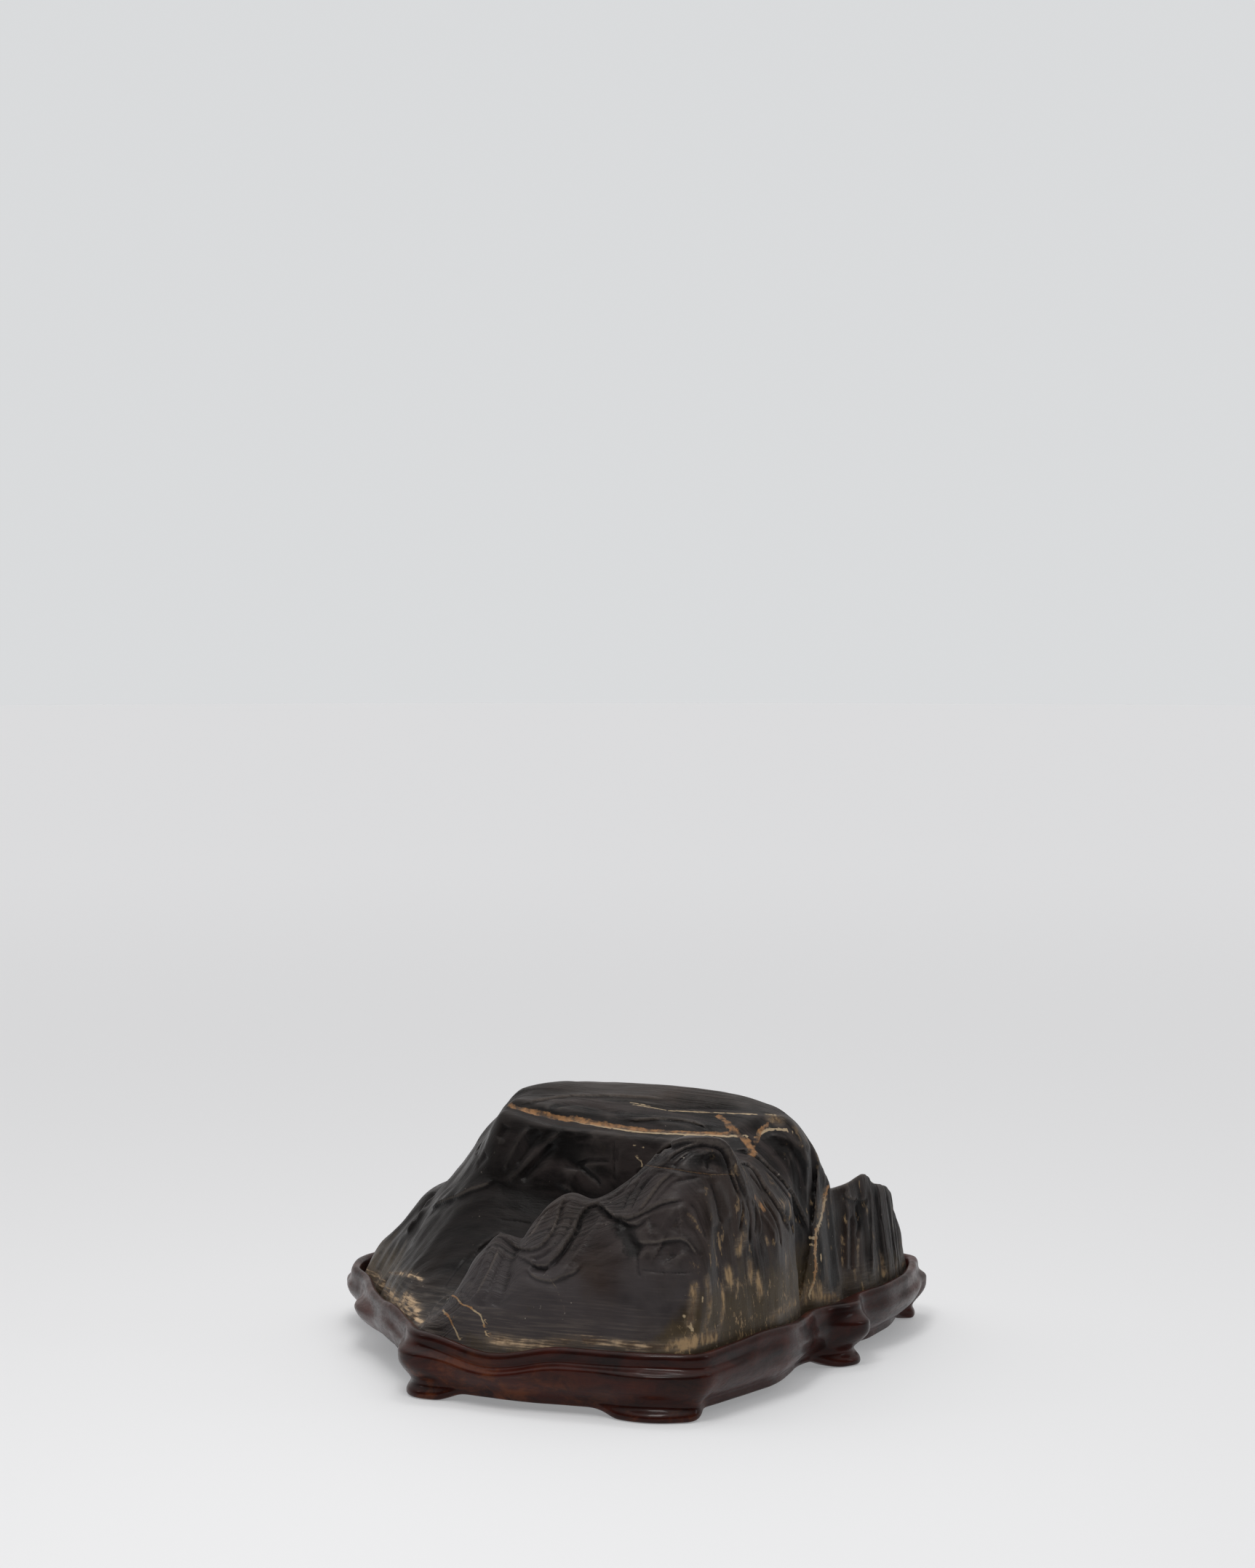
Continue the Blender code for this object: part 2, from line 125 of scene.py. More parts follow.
def curveAt(knots, values, where):
    knots = np.asarray(knots, float)
    values = np.asarray(values, float)
    step = np.diff(knots)
    slope = endSafeSlopes(step, np.diff(values) / step)
    k = np.clip(np.searchsorted(knots, where, side="right") - 1, 0, len(step) - 1)
    t = (where - knots[k]) / step[k]
    return curvePiece(t, step[k], values[k], values[k + 1], slope[k], slope[k + 1])


def lengthAlong(points):  # how far along a flat line each of its points lies
    return np.concatenate([[0], np.cumsum(np.hypot(*np.diff(points, axis=0).T))])


def bump(value, centre, width):
    return np.exp(-((value - centre) / width) ** 2)


def fade(value, low, high):  # 0 at low, 1 at high, eased
    t = np.clip((value - low) / (high - low), 0, 1)
    return t * t * (3 - 2 * t)


def softNoise(points, size, seed):  # a smooth random field from about -1 to 1
    side = 48
    lattice = np.random.RandomState(seed).uniform(-1, 1, (side, side, side))
    scaled = points / np.asarray(size, float)
    cell = np.floor(scaled).astype(int)
    part = scaled - cell
    part = part * part * (3 - 2 * part)
    total = np.zeros(len(points))
    for corner in np.ndindex(2, 2, 2):
        weight = np.prod(np.where(np.array(corner) == 1, part, 1 - part), axis=1)
        spot = (cell + np.array(corner)) % side
        total += weight * lattice[spot[:, 0], spot[:, 1], spot[:, 2]]
    return total


cameraValues = {"spot": (0.649776, -1.420919, 0.335135), "azimuth": 24.0, "pitch": 3.5, "lens": 85.0,
                "sensor": 36.0, "frameWide": 1725, "frameHigh": 2156, "clipStart": 0.05, "clipEnd": 50}


def cameraAxes():
    az = math.radians(cameraValues["azimuth"])
    pitch = math.radians(cameraValues["pitch"])
    ahead = Vector((-math.sin(az) * math.cos(pitch), math.cos(az) * math.cos(pitch), -math.sin(pitch)))
    right = Vector((math.cos(az), math.sin(az), 0))
    return right, right.cross(ahead), ahead


def makeCamera():
    bpy.ops.object.camera_add(location=cameraValues["spot"])
    camera = bpy.context.active_object
    camera.name = "photoCamera"
    ahead = cameraAxes()[2]
    camera.rotation_mode = "QUATERNION"
    camera.rotation_quaternion = ahead.to_track_quat("-Z", "Y")
    camera.data.lens = cameraValues["lens"]
    camera.data.sensor_width = cameraValues["sensor"]
    camera.data.clip_start = cameraValues["clipStart"]
    camera.data.clip_end = cameraValues["clipEnd"]
    bpy.context.scene.camera = camera


def pixelsPerUnit():  # how many pixels a unit covers at a unit's distance
    return cameraValues["lens"] / cameraValues["sensor"] * cameraValues["frameHigh"]


def rayThrough(px, py):
    right, up, ahead = cameraAxes()
    across = (px - cameraValues["frameWide"] / 2) / pixelsPerUnit()
    down = (py - cameraValues["frameHigh"] / 2) / pixelsPerUnit()
    return (ahead + right * across - up * down).normalized()


def pixelsOf(points):  # where points of the frame land in the camera's view
    right, up, ahead = (np.array(axis) for axis in cameraAxes())
    away = points - np.array(cameraValues["spot"])
    depth = away @ ahead
    px = cameraValues["frameWide"] / 2 + pixelsPerUnit() * (away @ right) / depth
    py = cameraValues["frameHigh"] / 2 - pixelsPerUnit() * (away @ up) / depth
    return px, py


def newMaterial(name):
    material = bpy.data.materials.new(name)
    material.use_nodes = True
    return material, material.node_tree, material.node_tree.nodes["Principled BSDF"]


def giveInputs(tree, node, values):
    for key, value in values.items():
        if isinstance(value, bpy.types.NodeSocket):
            tree.links.new(value, node.inputs[key])
        else:
            node.inputs[key].default_value = value


def noiseOf(tree, where, scale, detail=4.0, roughness=0.55, distortion=0.0):
    node = tree.nodes.new("ShaderNodeTexNoise")
    giveInputs(tree, node, {"Vector": where, "Scale": scale, "Detail": detail, "Roughness": roughness,
                            "Distortion": distortion})
    return node.outputs["Fac"]


def stretched(tree, where, scale, turn=(0, 0, 0)):
    node = tree.nodes.new("ShaderNodeMapping")
    giveInputs(tree, node, {"Vector": where, "Scale": scale, "Rotation": turn})
    return node.outputs["Vector"]


def rangeOf(tree, value, low, high, outLow=0.0, outHigh=1.0):
    node = tree.nodes.new("ShaderNodeMapRange")
    node.interpolation_type = "SMOOTHSTEP"
    giveInputs(tree, node, {"Value": value, "From Min": low, "From Max": high, "To Min": outLow,
                            "To Max": outHigh})
    return node.outputs["Result"]


def mathOf(tree, kind, *values):
    node = tree.nodes.new("ShaderNodeMath")
    node.operation = kind
    giveInputs(tree, node, dict(enumerate(values)))
    return node.outputs["Value"]


def times(tree, first, second):
    return mathOf(tree, "MULTIPLY", first, second)


def plus(tree, first, second):
    return mathOf(tree, "ADD", first, second)


def swing(tree, noise, strength):  # a noise turned to swing about nought
    return times(tree, mathOf(tree, "SUBTRACT", noise, 0.5), strength)


def blendColours(tree, share, first, second):
    node = tree.nodes.new("ShaderNodeMix")
    node.data_type = "RGBA"
    giveInputs(tree, node, {0: share, 6: first, 7: second})
    return node.outputs[2]


def readAttribute(tree, name):
    node = tree.nodes.new("ShaderNodeAttribute")
    node.attribute_name = name
    return node.outputs["Fac"]


def makePatterns(tree, where, patterns):  # a noise for each row of a dictionary of patterns
    made = {}
    for name, (stretch, *settings) in patterns.items():
        place = stretched(tree, where, stretch) if stretch else where
        made[name] = noiseOf(tree, place, *settings)
    return made


def addBumps(tree, shader, heights, strength, distance):
    bumps = tree.nodes.new("ShaderNodeBump")
    giveInputs(tree, bumps, {"Strength": strength, "Distance": distance, "Height": heights})
    tree.links.new(bumps.outputs["Normal"], shader.inputs["Normal"])


lightValues = {"overhead": 1.12, "behind": 0.58, "front": 0.03, "tint": (1.0, 0.972, 0.962),
               "frontWay": (0.407, -0.914, 0), "frontBand": (-0.45, 0.35), "overheadBand": (0.45, 0.95),
               "backdrop": (0.70, 0.71, 0.72)}
floorValues = {"radius": 7.0, "near": (0.50, 0.51, 0.52, 1), "far": (0.62, 0.635, 0.65, 1),
               "fade": (0.3, 2.6), "roughness": 0.6, "specular": 0.1, "glow": (0.97, 0.985, 1.0, 1),
               "glowStrength": 0.27}
# where each lamp hangs, what it points at, its width and height, watts and colour
softboxes = {"front": ((0.10, -0.42, 0.72), (0.10, -0.30, 0), 0.24, 0.24, 2.0, (1.0, 0.98, 0.96)),
             "over": ((-0.10, 0.25, 1.1), (0, 0, 0.05), 0.4, 0.25, 1.6, (1.0, 0.98, 0.97)),
             "left": ((-1.1, -0.7, 0.9), (0, 0, 0.04), 0.25, 0.25, 0.45, (1.0, 0.98, 0.96)),
             "right": ((1.3, 0.4, 0.7), (0, 0, 0.04), 0.3, 0.4, 0.8, (0.95, 0.98, 1.0))}


def makeRoom():  # a pale room, bright overhead and behind, dark in front
    world = bpy.data.worlds.new("softRoom")
    bpy.context.scene.world = world
    world.use_nodes = True
    tree = world.node_tree
    tree.nodes.clear()
    out = tree.nodes.new("ShaderNodeOutputWorld")
    mix = tree.nodes.new("ShaderNodeMixShader")
    path = tree.nodes.new("ShaderNodeLightPath")
    room = tree.nodes.new("ShaderNodeBackground")
    wall = tree.nodes.new("ShaderNodeBackground")
    towards = tree.nodes.new("ShaderNodeTexCoord").outputs["Generated"]
    height = tree.nodes.new("ShaderNodeSeparateXYZ")
    tree.links.new(towards, height.inputs["Vector"])
    facing = tree.nodes.new("ShaderNodeVectorMath")
    facing.operation = "DOT_PRODUCT"
    giveInputs(tree, facing, {0: towards, 1: lightValues["frontWay"]})
    band = rangeOf(tree, facing.outputs["Value"], *lightValues["frontBand"], lightValues["behind"],
                   lightValues["front"])
    above = rangeOf(tree, height.outputs["Z"], *lightValues["overheadBand"])
    strength = tree.nodes.new("ShaderNodeMix")
    giveInputs(tree, strength, {0: above, 2: band, 3: lightValues["overhead"]})
    giveInputs(tree, room, {"Color": (*lightValues["tint"], 1), "Strength": strength.outputs[0]})
    giveInputs(tree, wall, {"Color": (*lightValues["backdrop"], 1), "Strength": 1.0})
    tree.links.new(path.outputs["Is Camera Ray"], mix.inputs["Fac"])
    tree.links.new(room.outputs["Background"], mix.inputs[1])
    tree.links.new(wall.outputs["Background"], mix.inputs[2])
    tree.links.new(mix.outputs["Shader"], out.inputs["Surface"])
    bpy.context.scene.view_settings.view_transform = "Standard"


def makeLights():
    for name, (spot, aim, wide, high, watts, colour) in softboxes.items():
        bpy.ops.object.light_add(type="AREA", location=spot)
        lamp = bpy.context.active_object
        lamp.name = name
        lamp.data.shape = "RECTANGLE"
        lamp.data.size = wide
        lamp.data.size_y = high
        lamp.data.energy = watts
        lamp.data.color = colour
        lamp.rotation_mode = "QUATERNION"
        lamp.rotation_quaternion = (Vector(aim) - Vector(spot)).to_track_quat("-Z", "Y")


def makeFloor():
    deselectAll()
    bpy.ops.mesh.primitive_circle_add(vertices=96, radius=floorValues["radius"], fill_type="NGON",
                                      location=(0, 0, 0))
    floor = takeActive("floor")
    paper, tree, shader = newMaterial("palePaper")
    where = tree.nodes.new("ShaderNodeTexCoord").outputs["Object"]
    away = tree.nodes.new("ShaderNodeVectorMath")
    away.operation = "LENGTH"
    tree.links.new(where, away.inputs[0])
    # painted light: the floor grows paler further away so the far floor meets the backdrop
    far = rangeOf(tree, away.outputs["Value"], *floorValues["fade"])
    colour = blendColours(tree, far, floorValues["near"], floorValues["far"])
    giveInputs(tree, shader, {"Base Color": colour})
    shader.inputs["Roughness"].default_value = floorValues["roughness"]
    shader.inputs["Specular IOR Level"].default_value = floorValues["specular"]
    shader.inputs["Emission Color"].default_value = floorValues["glow"]
    shader.inputs["Emission Strength"].default_value = floorValues["glowStrength"]  # lightens the shadows
    floor.data.materials.append(paper)


seatEdges = {  # where the stone meets the stand, seen from above: x, y in drawing millimetres
    "front": [(-118, 2), (-100, -2), (-72, -5), (-48, -3), (-24, -1), (-1, 5)],
    "right": [(-1, 5), (4, 25), (9, 48), (12, 66), (10, 86), (8, 100), (12, 122), (13, 142), (17, 166),
              (17, 184), (13, 208), (6, 229)],
    "back": [(-176, 214), (-150, 227), (-118, 235), (-88, 233), (-58, 238), (-26, 239), (6, 229)],
    "left": [(-118, 2), (-137, 25), (-156, 46), (-174, 69), (-190, 94), (-205, 112), (-211, 134),
             (-206, 162), (-195, 191), (-176, 214)]}

stoneLines = {  # lines along the stone, front to back: x, y, z in drawing millimetres, left to right
    "frontFoot": [(-230, 0, 18), (-118, 2, 20), (-100, -2, 19), (-72, -5, 19), (-48, -3, 22), (-24, -1, 24),
                  (-1, 5, 25), (30, 14, 25)],
    "frontCrest": [(-230, 3, 8), (-130, 7, 19), (-122, 9, 26), (-111, 14, 39), (-101, 20, 56),
                   (-93, 22, 64), (-85, 24, 62), (-80, 26, 69), (-73, 28, 77), (-65, 30, 81), (-57, 31, 79),
                   (-50, 32, 82), (-34, 33, 94), (-26, 33, 101), (-16, 35, 106), (-7, 40, 105), (-2, 45, 98),
                   (1, 50, 88), (4, 55, 70), (12, 62, 46), (30, 70, 20)],
    "frontValley": [(-230, 52, 8), (-160, 50, 27), (-145, 46, 33), (-130, 44, 36), (-115, 44, 38),
                    (-100, 46, 44), (-85, 48, 46), (-70, 52, 56), (-55, 54, 62), (-40, 55, 72),
                    (-25, 58, 90), (-14, 62, 94), (-6, 64, 91), (1, 66, 80), (7, 68, 70), (14, 72, 56),
                    (30, 76, 30)],
    "cliffFoot": [(-230, 80, 4), (-176, 74, 26), (-165, 73, 37), (-150, 72, 52), (-135, 72, 64),
                  (-118, 74, 71), (-100, 76, 70), (-80, 77, 68), (-60, 77, 72), (-42, 77, 80), (-25, 78, 90),
                  (-12, 79, 91), (-5, 79, 88), (3, 79, 78), (9, 79, 69), (14, 79, 58), (30, 80, 30)],
    "cliffTop": [(-230, 97, 0), (-186, 94, 26), (-176, 93, 38), (-160, 92, 59), (-146, 91, 73),
                 (-134, 89, 89), (-122, 86, 102), (-109, 84, 100), (-96, 83, 98), (-73, 83, 97),
                 (-48, 85, 96), (-25, 92, 95), (-14, 96, 92), (-5, 97, 85), (5, 98, 73), (11, 99, 60),
                 (30, 99, 30)],
    "ledge": [(-230, 101, 0), (-192, 99, 26), (-178, 98, 43), (-162, 97, 60), (-148, 95, 72),
              (-135, 93, 90), (-123, 91, 103.5), (-109, 90, 101.5), (-96, 89, 99.5), (-73, 90, 98.5),
              (-48, 91, 98), (-25, 98, 97.5), (-11, 106, 97), (-3, 108, 94), (4, 109, 86), (10, 109, 72),
              (30, 109, 40)],
    "capLow": [(-230, 105, 0), (-196, 103, 26), (-182, 102, 43), (-165, 101, 58), (-150, 99, 73),
               (-137, 97, 89), (-127, 95, 102), (-121, 95, 107), (-109, 94, 106), (-96, 93, 104),
               (-73, 94, 103), (-48, 95, 102), (-25, 101, 101), (-13, 108, 101), (-5, 110, 99),
               (3, 111, 90), (9, 111, 75), (30, 111, 40)],
    "capMiddle": [(-230, 112, 0), (-203, 110, 26), (-188, 110, 40), (-170, 109, 58), (-154, 108, 73),
                  (-140, 107, 90), (-129, 106, 104), (-120, 105, 108), (-72, 106, 107), (-47, 106, 105),
                  (-19, 109, 105), (-8, 113, 104), (0, 115, 96), (6, 115, 84), (11, 115, 72), (30, 115, 40)],
    "capFront": [(-230, 124, 0), (-208, 122, 28), (-189, 125, 46), (-179, 126, 58), (-166, 126, 67),
                 (-157, 124, 77), (-149, 121, 87), (-139, 118, 97), (-127, 116, 109), (-103, 121, 112),
                 (-59, 122, 112), (-36, 122, 111), (-17, 122, 107), (-6, 122, 101), (1, 122, 93),
                 (9, 124, 77), (14, 124, 66), (30, 124, 40)],
    "capBack": [(-230, 142, 0), (-211, 140, 24), (-200, 140, 31), (-186, 140, 42), (-170, 140, 57),
                (-156, 140, 71), (-142, 140, 88), (-130, 140, 101), (-112, 140, 108), (-80, 142, 109),
                (-55, 142, 107), (-38, 140, 102), (-26, 138, 94), (-15, 138, 84), (-6, 139, 75), (2, 140, 70),
                (8, 140, 71), (14, 140, 66), (30, 140, 50)],
    "peakRow": [(-230, 165, 0), (-206, 162, 23), (-190, 162, 34), (-172, 162, 48), (-156, 162, 62),
                (-142, 162, 76), (-128, 162, 88), (-108, 163, 96), (-85, 164, 98), (-62, 164, 94),
                (-44, 163, 85), (-30, 162, 73), (-16, 162, 64), (-4, 162, 65), (5, 162, 71), (10, 162, 74),
                (15, 162, 68), (30, 162, 50)],
    "backValley": [(-230, 182, 0), (-200, 178, 27), (-180, 178, 45), (-162, 179, 56), (-145, 180, 66),
                   (-125, 181, 74), (-105, 182, 78), (-80, 182, 76), (-58, 181, 70), (-40, 180, 62),
                   (-25, 179, 56), (-10, 178, 57), (2, 178, 64), (9, 178, 67), (14, 178, 60), (30, 178, 40)],
    "backCrest": [(-230, 198, 0), (-192, 195, 27), (-175, 196, 46), (-158, 198, 62), (-140, 199, 71),
                  (-120, 200, 75), (-98, 200, 68), (-80, 199, 58), (-60, 198, 62), (-42, 197, 53),
                  (-25, 196, 47), (-10, 194, 53), (1, 192, 61), (9, 192, 64), (14, 192, 56), (30, 192, 36)],
    "backSlope": [(-230, 212, 0), (-180, 208, 28), (-160, 209, 42), (-140, 210, 50), (-118, 211, 53),
                  (-95, 210, 44), (-75, 209, 39), (-55, 209, 44), (-35, 207, 36), (-15, 206, 40),
                  (0, 204, 50), (8, 204, 51), (13, 204, 44), (30, 204, 30)],
    "backFoot": [(-230, 214, 18), (-176, 214, 20), (-150, 227, 20), (-118, 235, 20), (-88, 233, 21),
                 (-58, 238, 20), (-26, 239, 20), (6, 229, 22), (30, 226, 22)]}

# lengths in millimetres; the places of edges and swells are x or y of the drawing
stoneValues = {"sideGap": 0.6, "foot": 12.0, "cliffStart": 21.0, "hillSteepness": 2.6,
               "cliffSteepness": 9.0, "frontSteepness": 20, "cliffCorner": (-28, 4),
               "cliffSwell": (6, 80, 26), "wallTop": 95, "wallBlend": 7, "lowest": 15.0,
               "hillsideEnds": (-118, 46), "hillsideEase": 5, "grid": 420, "edgeCrowding": 0.072,
               "cornerRounds": 26, "voxel": 0.62, "smoothing": 3, "triangles": 196000,
               "edgeRounds": 9, "hollowRounds": 140,
               "footDents": [(-183, 82, 11, 3.2), (8, 103, 8, 2.6), (13, 140, 7, 2.0)],
               "cliffGrooves": [(46, 0.04, 2.6, 0.3), (60, 0, 2.4, 0.2), (76, 0, 2.6, 0.25),
                                (90, 0, 2.2, 0.3), (89, 0.34, 2.6, 2.2), (127, 0, 5.0, 1.0),
                                (145, 0, 2.4, 0.35), (157, 0, 2.4, 0.3), (173, 0, 3.4, 1.2),
                                (188, 0, 2.6, 0.35), (201, 0, 2.6, 0.5)]}


def lineAt(line, x):
    points = np.array(line, float)
    return curveAt(points[:, 0], points[:, 1], x), curveAt(points[:, 0], points[:, 2], x)


def stoneRows(x):
    footY, footZ = lineAt(stoneLines["frontFoot"], x)
    crestY, crestZ = lineAt(stoneLines["frontCrest"], x)
    valleyY, valleyZ = lineAt(stoneLines["frontValley"], x)
    rows = [(footY - 20, footZ - 8), (footY, footZ)]
    for shareY, shareZ in ((0.26, 0.44), (0.62, 0.80)):  # the front face bulges between foot and crest
        rows.append((footY + shareY * (crestY - footY), footZ + shareZ * (crestZ - footZ)))
    rows.append((crestY, crestZ))
    rows.append((crestY + 0.4 * (valleyY - crestY), crestZ + 0.35 * (valleyZ - crestZ)))
    rows.append((valleyY, valleyZ))
    for name in list(stoneLines)[3:]:
        rows.append(lineAt(stoneLines[name], x))
    backY, backZ = rows[-1]
    rows.append((backY + 20, backZ - 8))
    return np.array([r[0] for r in rows]), np.array([r[1] for r in rows])


def summitHeight(x, y):
    rowY, rowZ = stoneRows(x)
    step = np.maximum(np.diff(rowY, axis=0), 0.5)
    slope = endSafeSlopes(step, np.diff(rowZ, axis=0) / step)
    height = np.array(rowZ[0])
    for k in range(len(step)):
        t = np.clip((y - rowY[k]) / step[k], 0, 1)
        piece = curvePiece(t, step[k], rowZ[k], rowZ[k + 1], slope[k], slope[k + 1])
        height = np.where(y >= rowY[k], piece, height)
    return height


def resample(loop, count):
    closed = np.vstack([loop, loop[:1]])
    along = lengthAlong(closed)
    where = np.linspace(0, along[-1], count, endpoint=False)
    return np.stack([np.interp(where, along, closed[:, i]) for i in (0, 1)], axis=1)


def smoothEdge(points, count):
    points = np.array(points, float)
    along = lengthAlong(points)
    where = np.linspace(0, along[-1], count)
    return np.stack([curveAt(along, points[:, i], where) for i in (0, 1)], axis=1)


def seatOutline(count):
    edges = [smoothEdge(seatEdges["front"], 200), smoothEdge(seatEdges["right"], 300),
             smoothEdge(seatEdges["back"], 300)[::-1], smoothEdge(seatEdges["left"], 300)[::-1]]
    loop = resample(np.concatenate([e[:-1] for e in edges]), 1200)
    for _ in range(stoneValues["cornerRounds"]):
        loop = 0.5 * loop + 0.25 * (np.roll(loop, 1, 0) + np.roll(loop, -1, 0))
    return resample(loop, count)


def outward(loop):
    along = np.roll(loop, -1, 0) - np.roll(loop, 1, 0)
    normal = np.stack([along[:, 1], -along[:, 0]], axis=1)
    return normal / np.hypot(*normal.T)[:, None]


def depthInside(outline, x, y):
    best = np.full(x.shape, 1e9)
    sign = np.ones(x.shape)
    for a, b in zip(outline, np.roll(outline, -1, 0)):
        ab = b - a
        t = np.clip(((x - a[0]) * ab[0] + (y - a[1]) * ab[1]) / (ab @ ab), 0, 1)
        dx = x - (a[0] + t * ab[0])
        dy = y - (a[1] + t * ab[1])
        gap = np.hypot(dx, dy)
        near = gap < best
        best = np.where(near, gap, best)
        sign = np.where(near, np.where(ab[0] * dy - ab[1] * dx >= 0, 1, -1), sign)
    return best * sign


def alongGap(loop, spot):
    closed = np.vstack([loop, loop[:1]])
    along = lengthAlong(closed)
    here = along[int(np.argmin(np.hypot(*(loop - np.array(spot)).T)))]
    away = np.abs(along[:-1] - here)
    return np.minimum(away, along[-1] - away)


def softStep(gap, halfWidth):
    return (1 + np.cos(math.pi * np.clip(gap / halfWidth, 0, 1))) / 2


def stoneOutline():
    outline = seatOutline(600)
    inset = np.full(len(outline), stoneValues["sideGap"])
    for x, y, half, deep in stoneValues["footDents"]:
        inset += deep * softStep(alongGap(outline, (x, y)), half)
    return outline - outward(outline) * inset[:, None]


def leftHillside(x, y):
    (endX, endY), ease = stoneValues["hillsideEnds"], stoneValues["hillsideEase"]
    return 1 / (1 + np.exp((x - endX) / ease)) / (1 + np.exp((endY - y) / ease))


def stoneHeight(x, y, outline):
    inside = depthInside(outline, x, y)
    corner, width = stoneValues["cliffCorner"]
    right = np.clip((y - 6) / 14, 0, 1) / (1 + np.exp((corner - x) / width))
    hill, cliff = stoneValues["hillSteepness"], stoneValues["cliffSteepness"]
    swell, swellY, swellWidth = stoneValues["cliffSwell"]
    steep = hill + right * (cliff + swell * bump(y, swellY, swellWidth) - hill)
    steep = steep + stoneValues["frontSteepness"] * np.clip((26 - y) / 18, 0, 1)
    start = stoneValues["cliffStart"]
    guess = np.minimum(start + steep * np.maximum(inside, 0), stoneValues["wallTop"])
    cut = sum(deep * bump(y, foot + lean * guess, wide)
              for foot, lean, wide, deep in stoneValues["cliffGrooves"])
    wall = start + steep * (inside - right * cut * np.clip(inside / 2, 0, 1))
    top = summitHeight(x, y)
    blend = stoneValues["wallBlend"]
    share = np.clip(0.5 + 0.5 * (wall - top) / blend, 0, 1)
    height = wall + (top - wall) * share - blend * share * (1 - share)
    return np.maximum(height, stoneValues["lowest"])


def spreadOver(outline, u, v):  # places grid points, 0 to 1 each way, inside the outline
    corners = [int(np.argmin(np.hypot(*(outline - np.array(c)).T)))
               for c in (seatEdges["front"][0], seatEdges["right"][0], seatEdges["right"][-1],
                         seatEdges["back"][0])]
    crowd = stoneValues["edgeCrowding"]
    u = u - crowd * np.sin(2 * math.pi * u)
    v = v - crowd * np.sin(2 * math.pi * v)
    runs = []
    for start, end in zip(corners, corners[1:] + corners[:1]):
        run = np.arange(start, end + 1 if end > start else end + len(outline) + 1) % len(outline)
        piece = outline[run]
        along = lengthAlong(piece)
        runs.append((along / along[-1], piece))

    def side(k, t):
        return np.stack([np.interp(t, runs[k][0], runs[k][1][:, i]) for i in (0, 1)], axis=1)

    front, right, back, left = side(0, u), side(1, v), side(2, 1 - u), side(3, 1 - v)
    c = [outline[k] for k in corners]
    u, v = u[:, None], v[:, None]
    flat = (1 - u) * (1 - v) * c[0] + u * (1 - v) * c[1] + u * v * c[2] + (1 - u) * v * c[3]
    return (1 - v) * front + v * back + (1 - u) * left + u * right - flat


def makeStoneBlock():
    deselectAll()
    count = stoneValues["grid"]
    bpy.ops.mesh.primitive_grid_add(x_subdivisions=count, y_subdivisions=count, size=2)
    stone = takeActive("weatheredStone")
    flat = getPoints(stone)
    outline = stoneOutline()
    spread = spreadOver(outline, (flat[:, 0] + 1) / 2, (flat[:, 1] + 1) / 2)
    height = stoneHeight(spread[:, 0], spread[:, 1], outline)
    setPoints(stone, toFrame(np.column_stack([spread, height])))
    bpy.ops.object.mode_set(mode="EDIT")
    bpy.ops.mesh.select_mode(type="EDGE")
    bpy.ops.mesh.select_all(action="DESELECT")
    bpy.ops.mesh.select_non_manifold()
    bpy.ops.mesh.extrude_region_move()
    shaped = bmesh.from_edit_mesh(stone.data)
    for vertex in shaped.verts:
        if vertex.select:
            vertex.co.z = stoneValues["foot"] * mm
    bmesh.update_edit_mesh(stone.data)
    bpy.ops.mesh.edge_face_add()
    bpy.ops.mesh.select_all(action="SELECT")
    bpy.ops.mesh.normals_make_consistent(inside=False)
    bpy.ops.object.mode_set(mode="OBJECT")
    applyModifier(stone, "REMESH", mode="VOXEL", voxel_size=stoneValues["voxel"] * mm, adaptivity=0.0)
    applyModifier(stone, "SMOOTH", factor=0.5, iterations=stoneValues["smoothing"])
    print("stone block:", len(stone.data.vertices), "points")
    return stone


layerValues = {"seed": 11, "start": -30, "end": 290, "thin": 1.5, "thick": 5.5, "edge": 0.35,
               "height": 0.34, "crown": 0.35, "groove": 0.42, "grooveWidth": 0.42,
               # how much the layers show: worn places, then each part of the stone
               "worn": 0.04, "cliff": 0.22, "rightPeaks": 0.16, "back": 0.9, "cap": 0.5, "hillside": 0.05,
               # strength, size and seed of the lumps, then height and length of the hillside's folds
               "lumps": [(0.5, (16, 9, 13), 21), (0.22, (6.5, 3.2, 6), 22)],
               "foldWay": (-0.62, 0.78), "folds": (0.4, 23), "smallFolds": (0.1, 9.4)}


def layerProfile():  # height of the weathered edge of each layer, along the layers' own axis
    random = np.random.RandomState(layerValues["seed"])
    where = np.arange(layerValues["start"], layerValues["end"], 0.05)
    height = np.zeros(len(where))
    start = float(layerValues["start"])
    level = 0.0
    while start < layerValues["end"]:
        thick = random.uniform(layerValues["thin"], layerValues["thick"])
        nextLevel = random.uniform(-1, 1) * layerValues["height"]
        inside = fade(where, start - layerValues["edge"], start + layerValues["edge"])
        height += inside * (nextLevel - level)
        crown = np.sin(math.pi * np.clip((where - start) / thick, 0, 1))
        height += layerValues["crown"] * layerValues["height"] * crown * (thick / layerValues["thick"])
        groove = random.uniform(0.3, 1) * layerValues["groove"]
        height -= groove * bump(where, start, layerValues["grooveWidth"])
        level = nextLevel
        start += thick
    return where, height


def layerPlace(p):  # how far along the layers' axis a point lies, with their gentle waves
    x, y, z = p[:, 0], p[:, 1], p[:, 2]
    wave = 1.8 * np.sin(x / 19 + 0.5) + 0.9 * np.sin(x / 8.3 + z / 23 + 1) + 0.6 * np.sin(z / 9 + x / 31)
    return y + wave + 1.6 * softNoise(p, (26, 60, 22), 3) + 0.35 * softNoise(p, (7, 30, 7), 4)


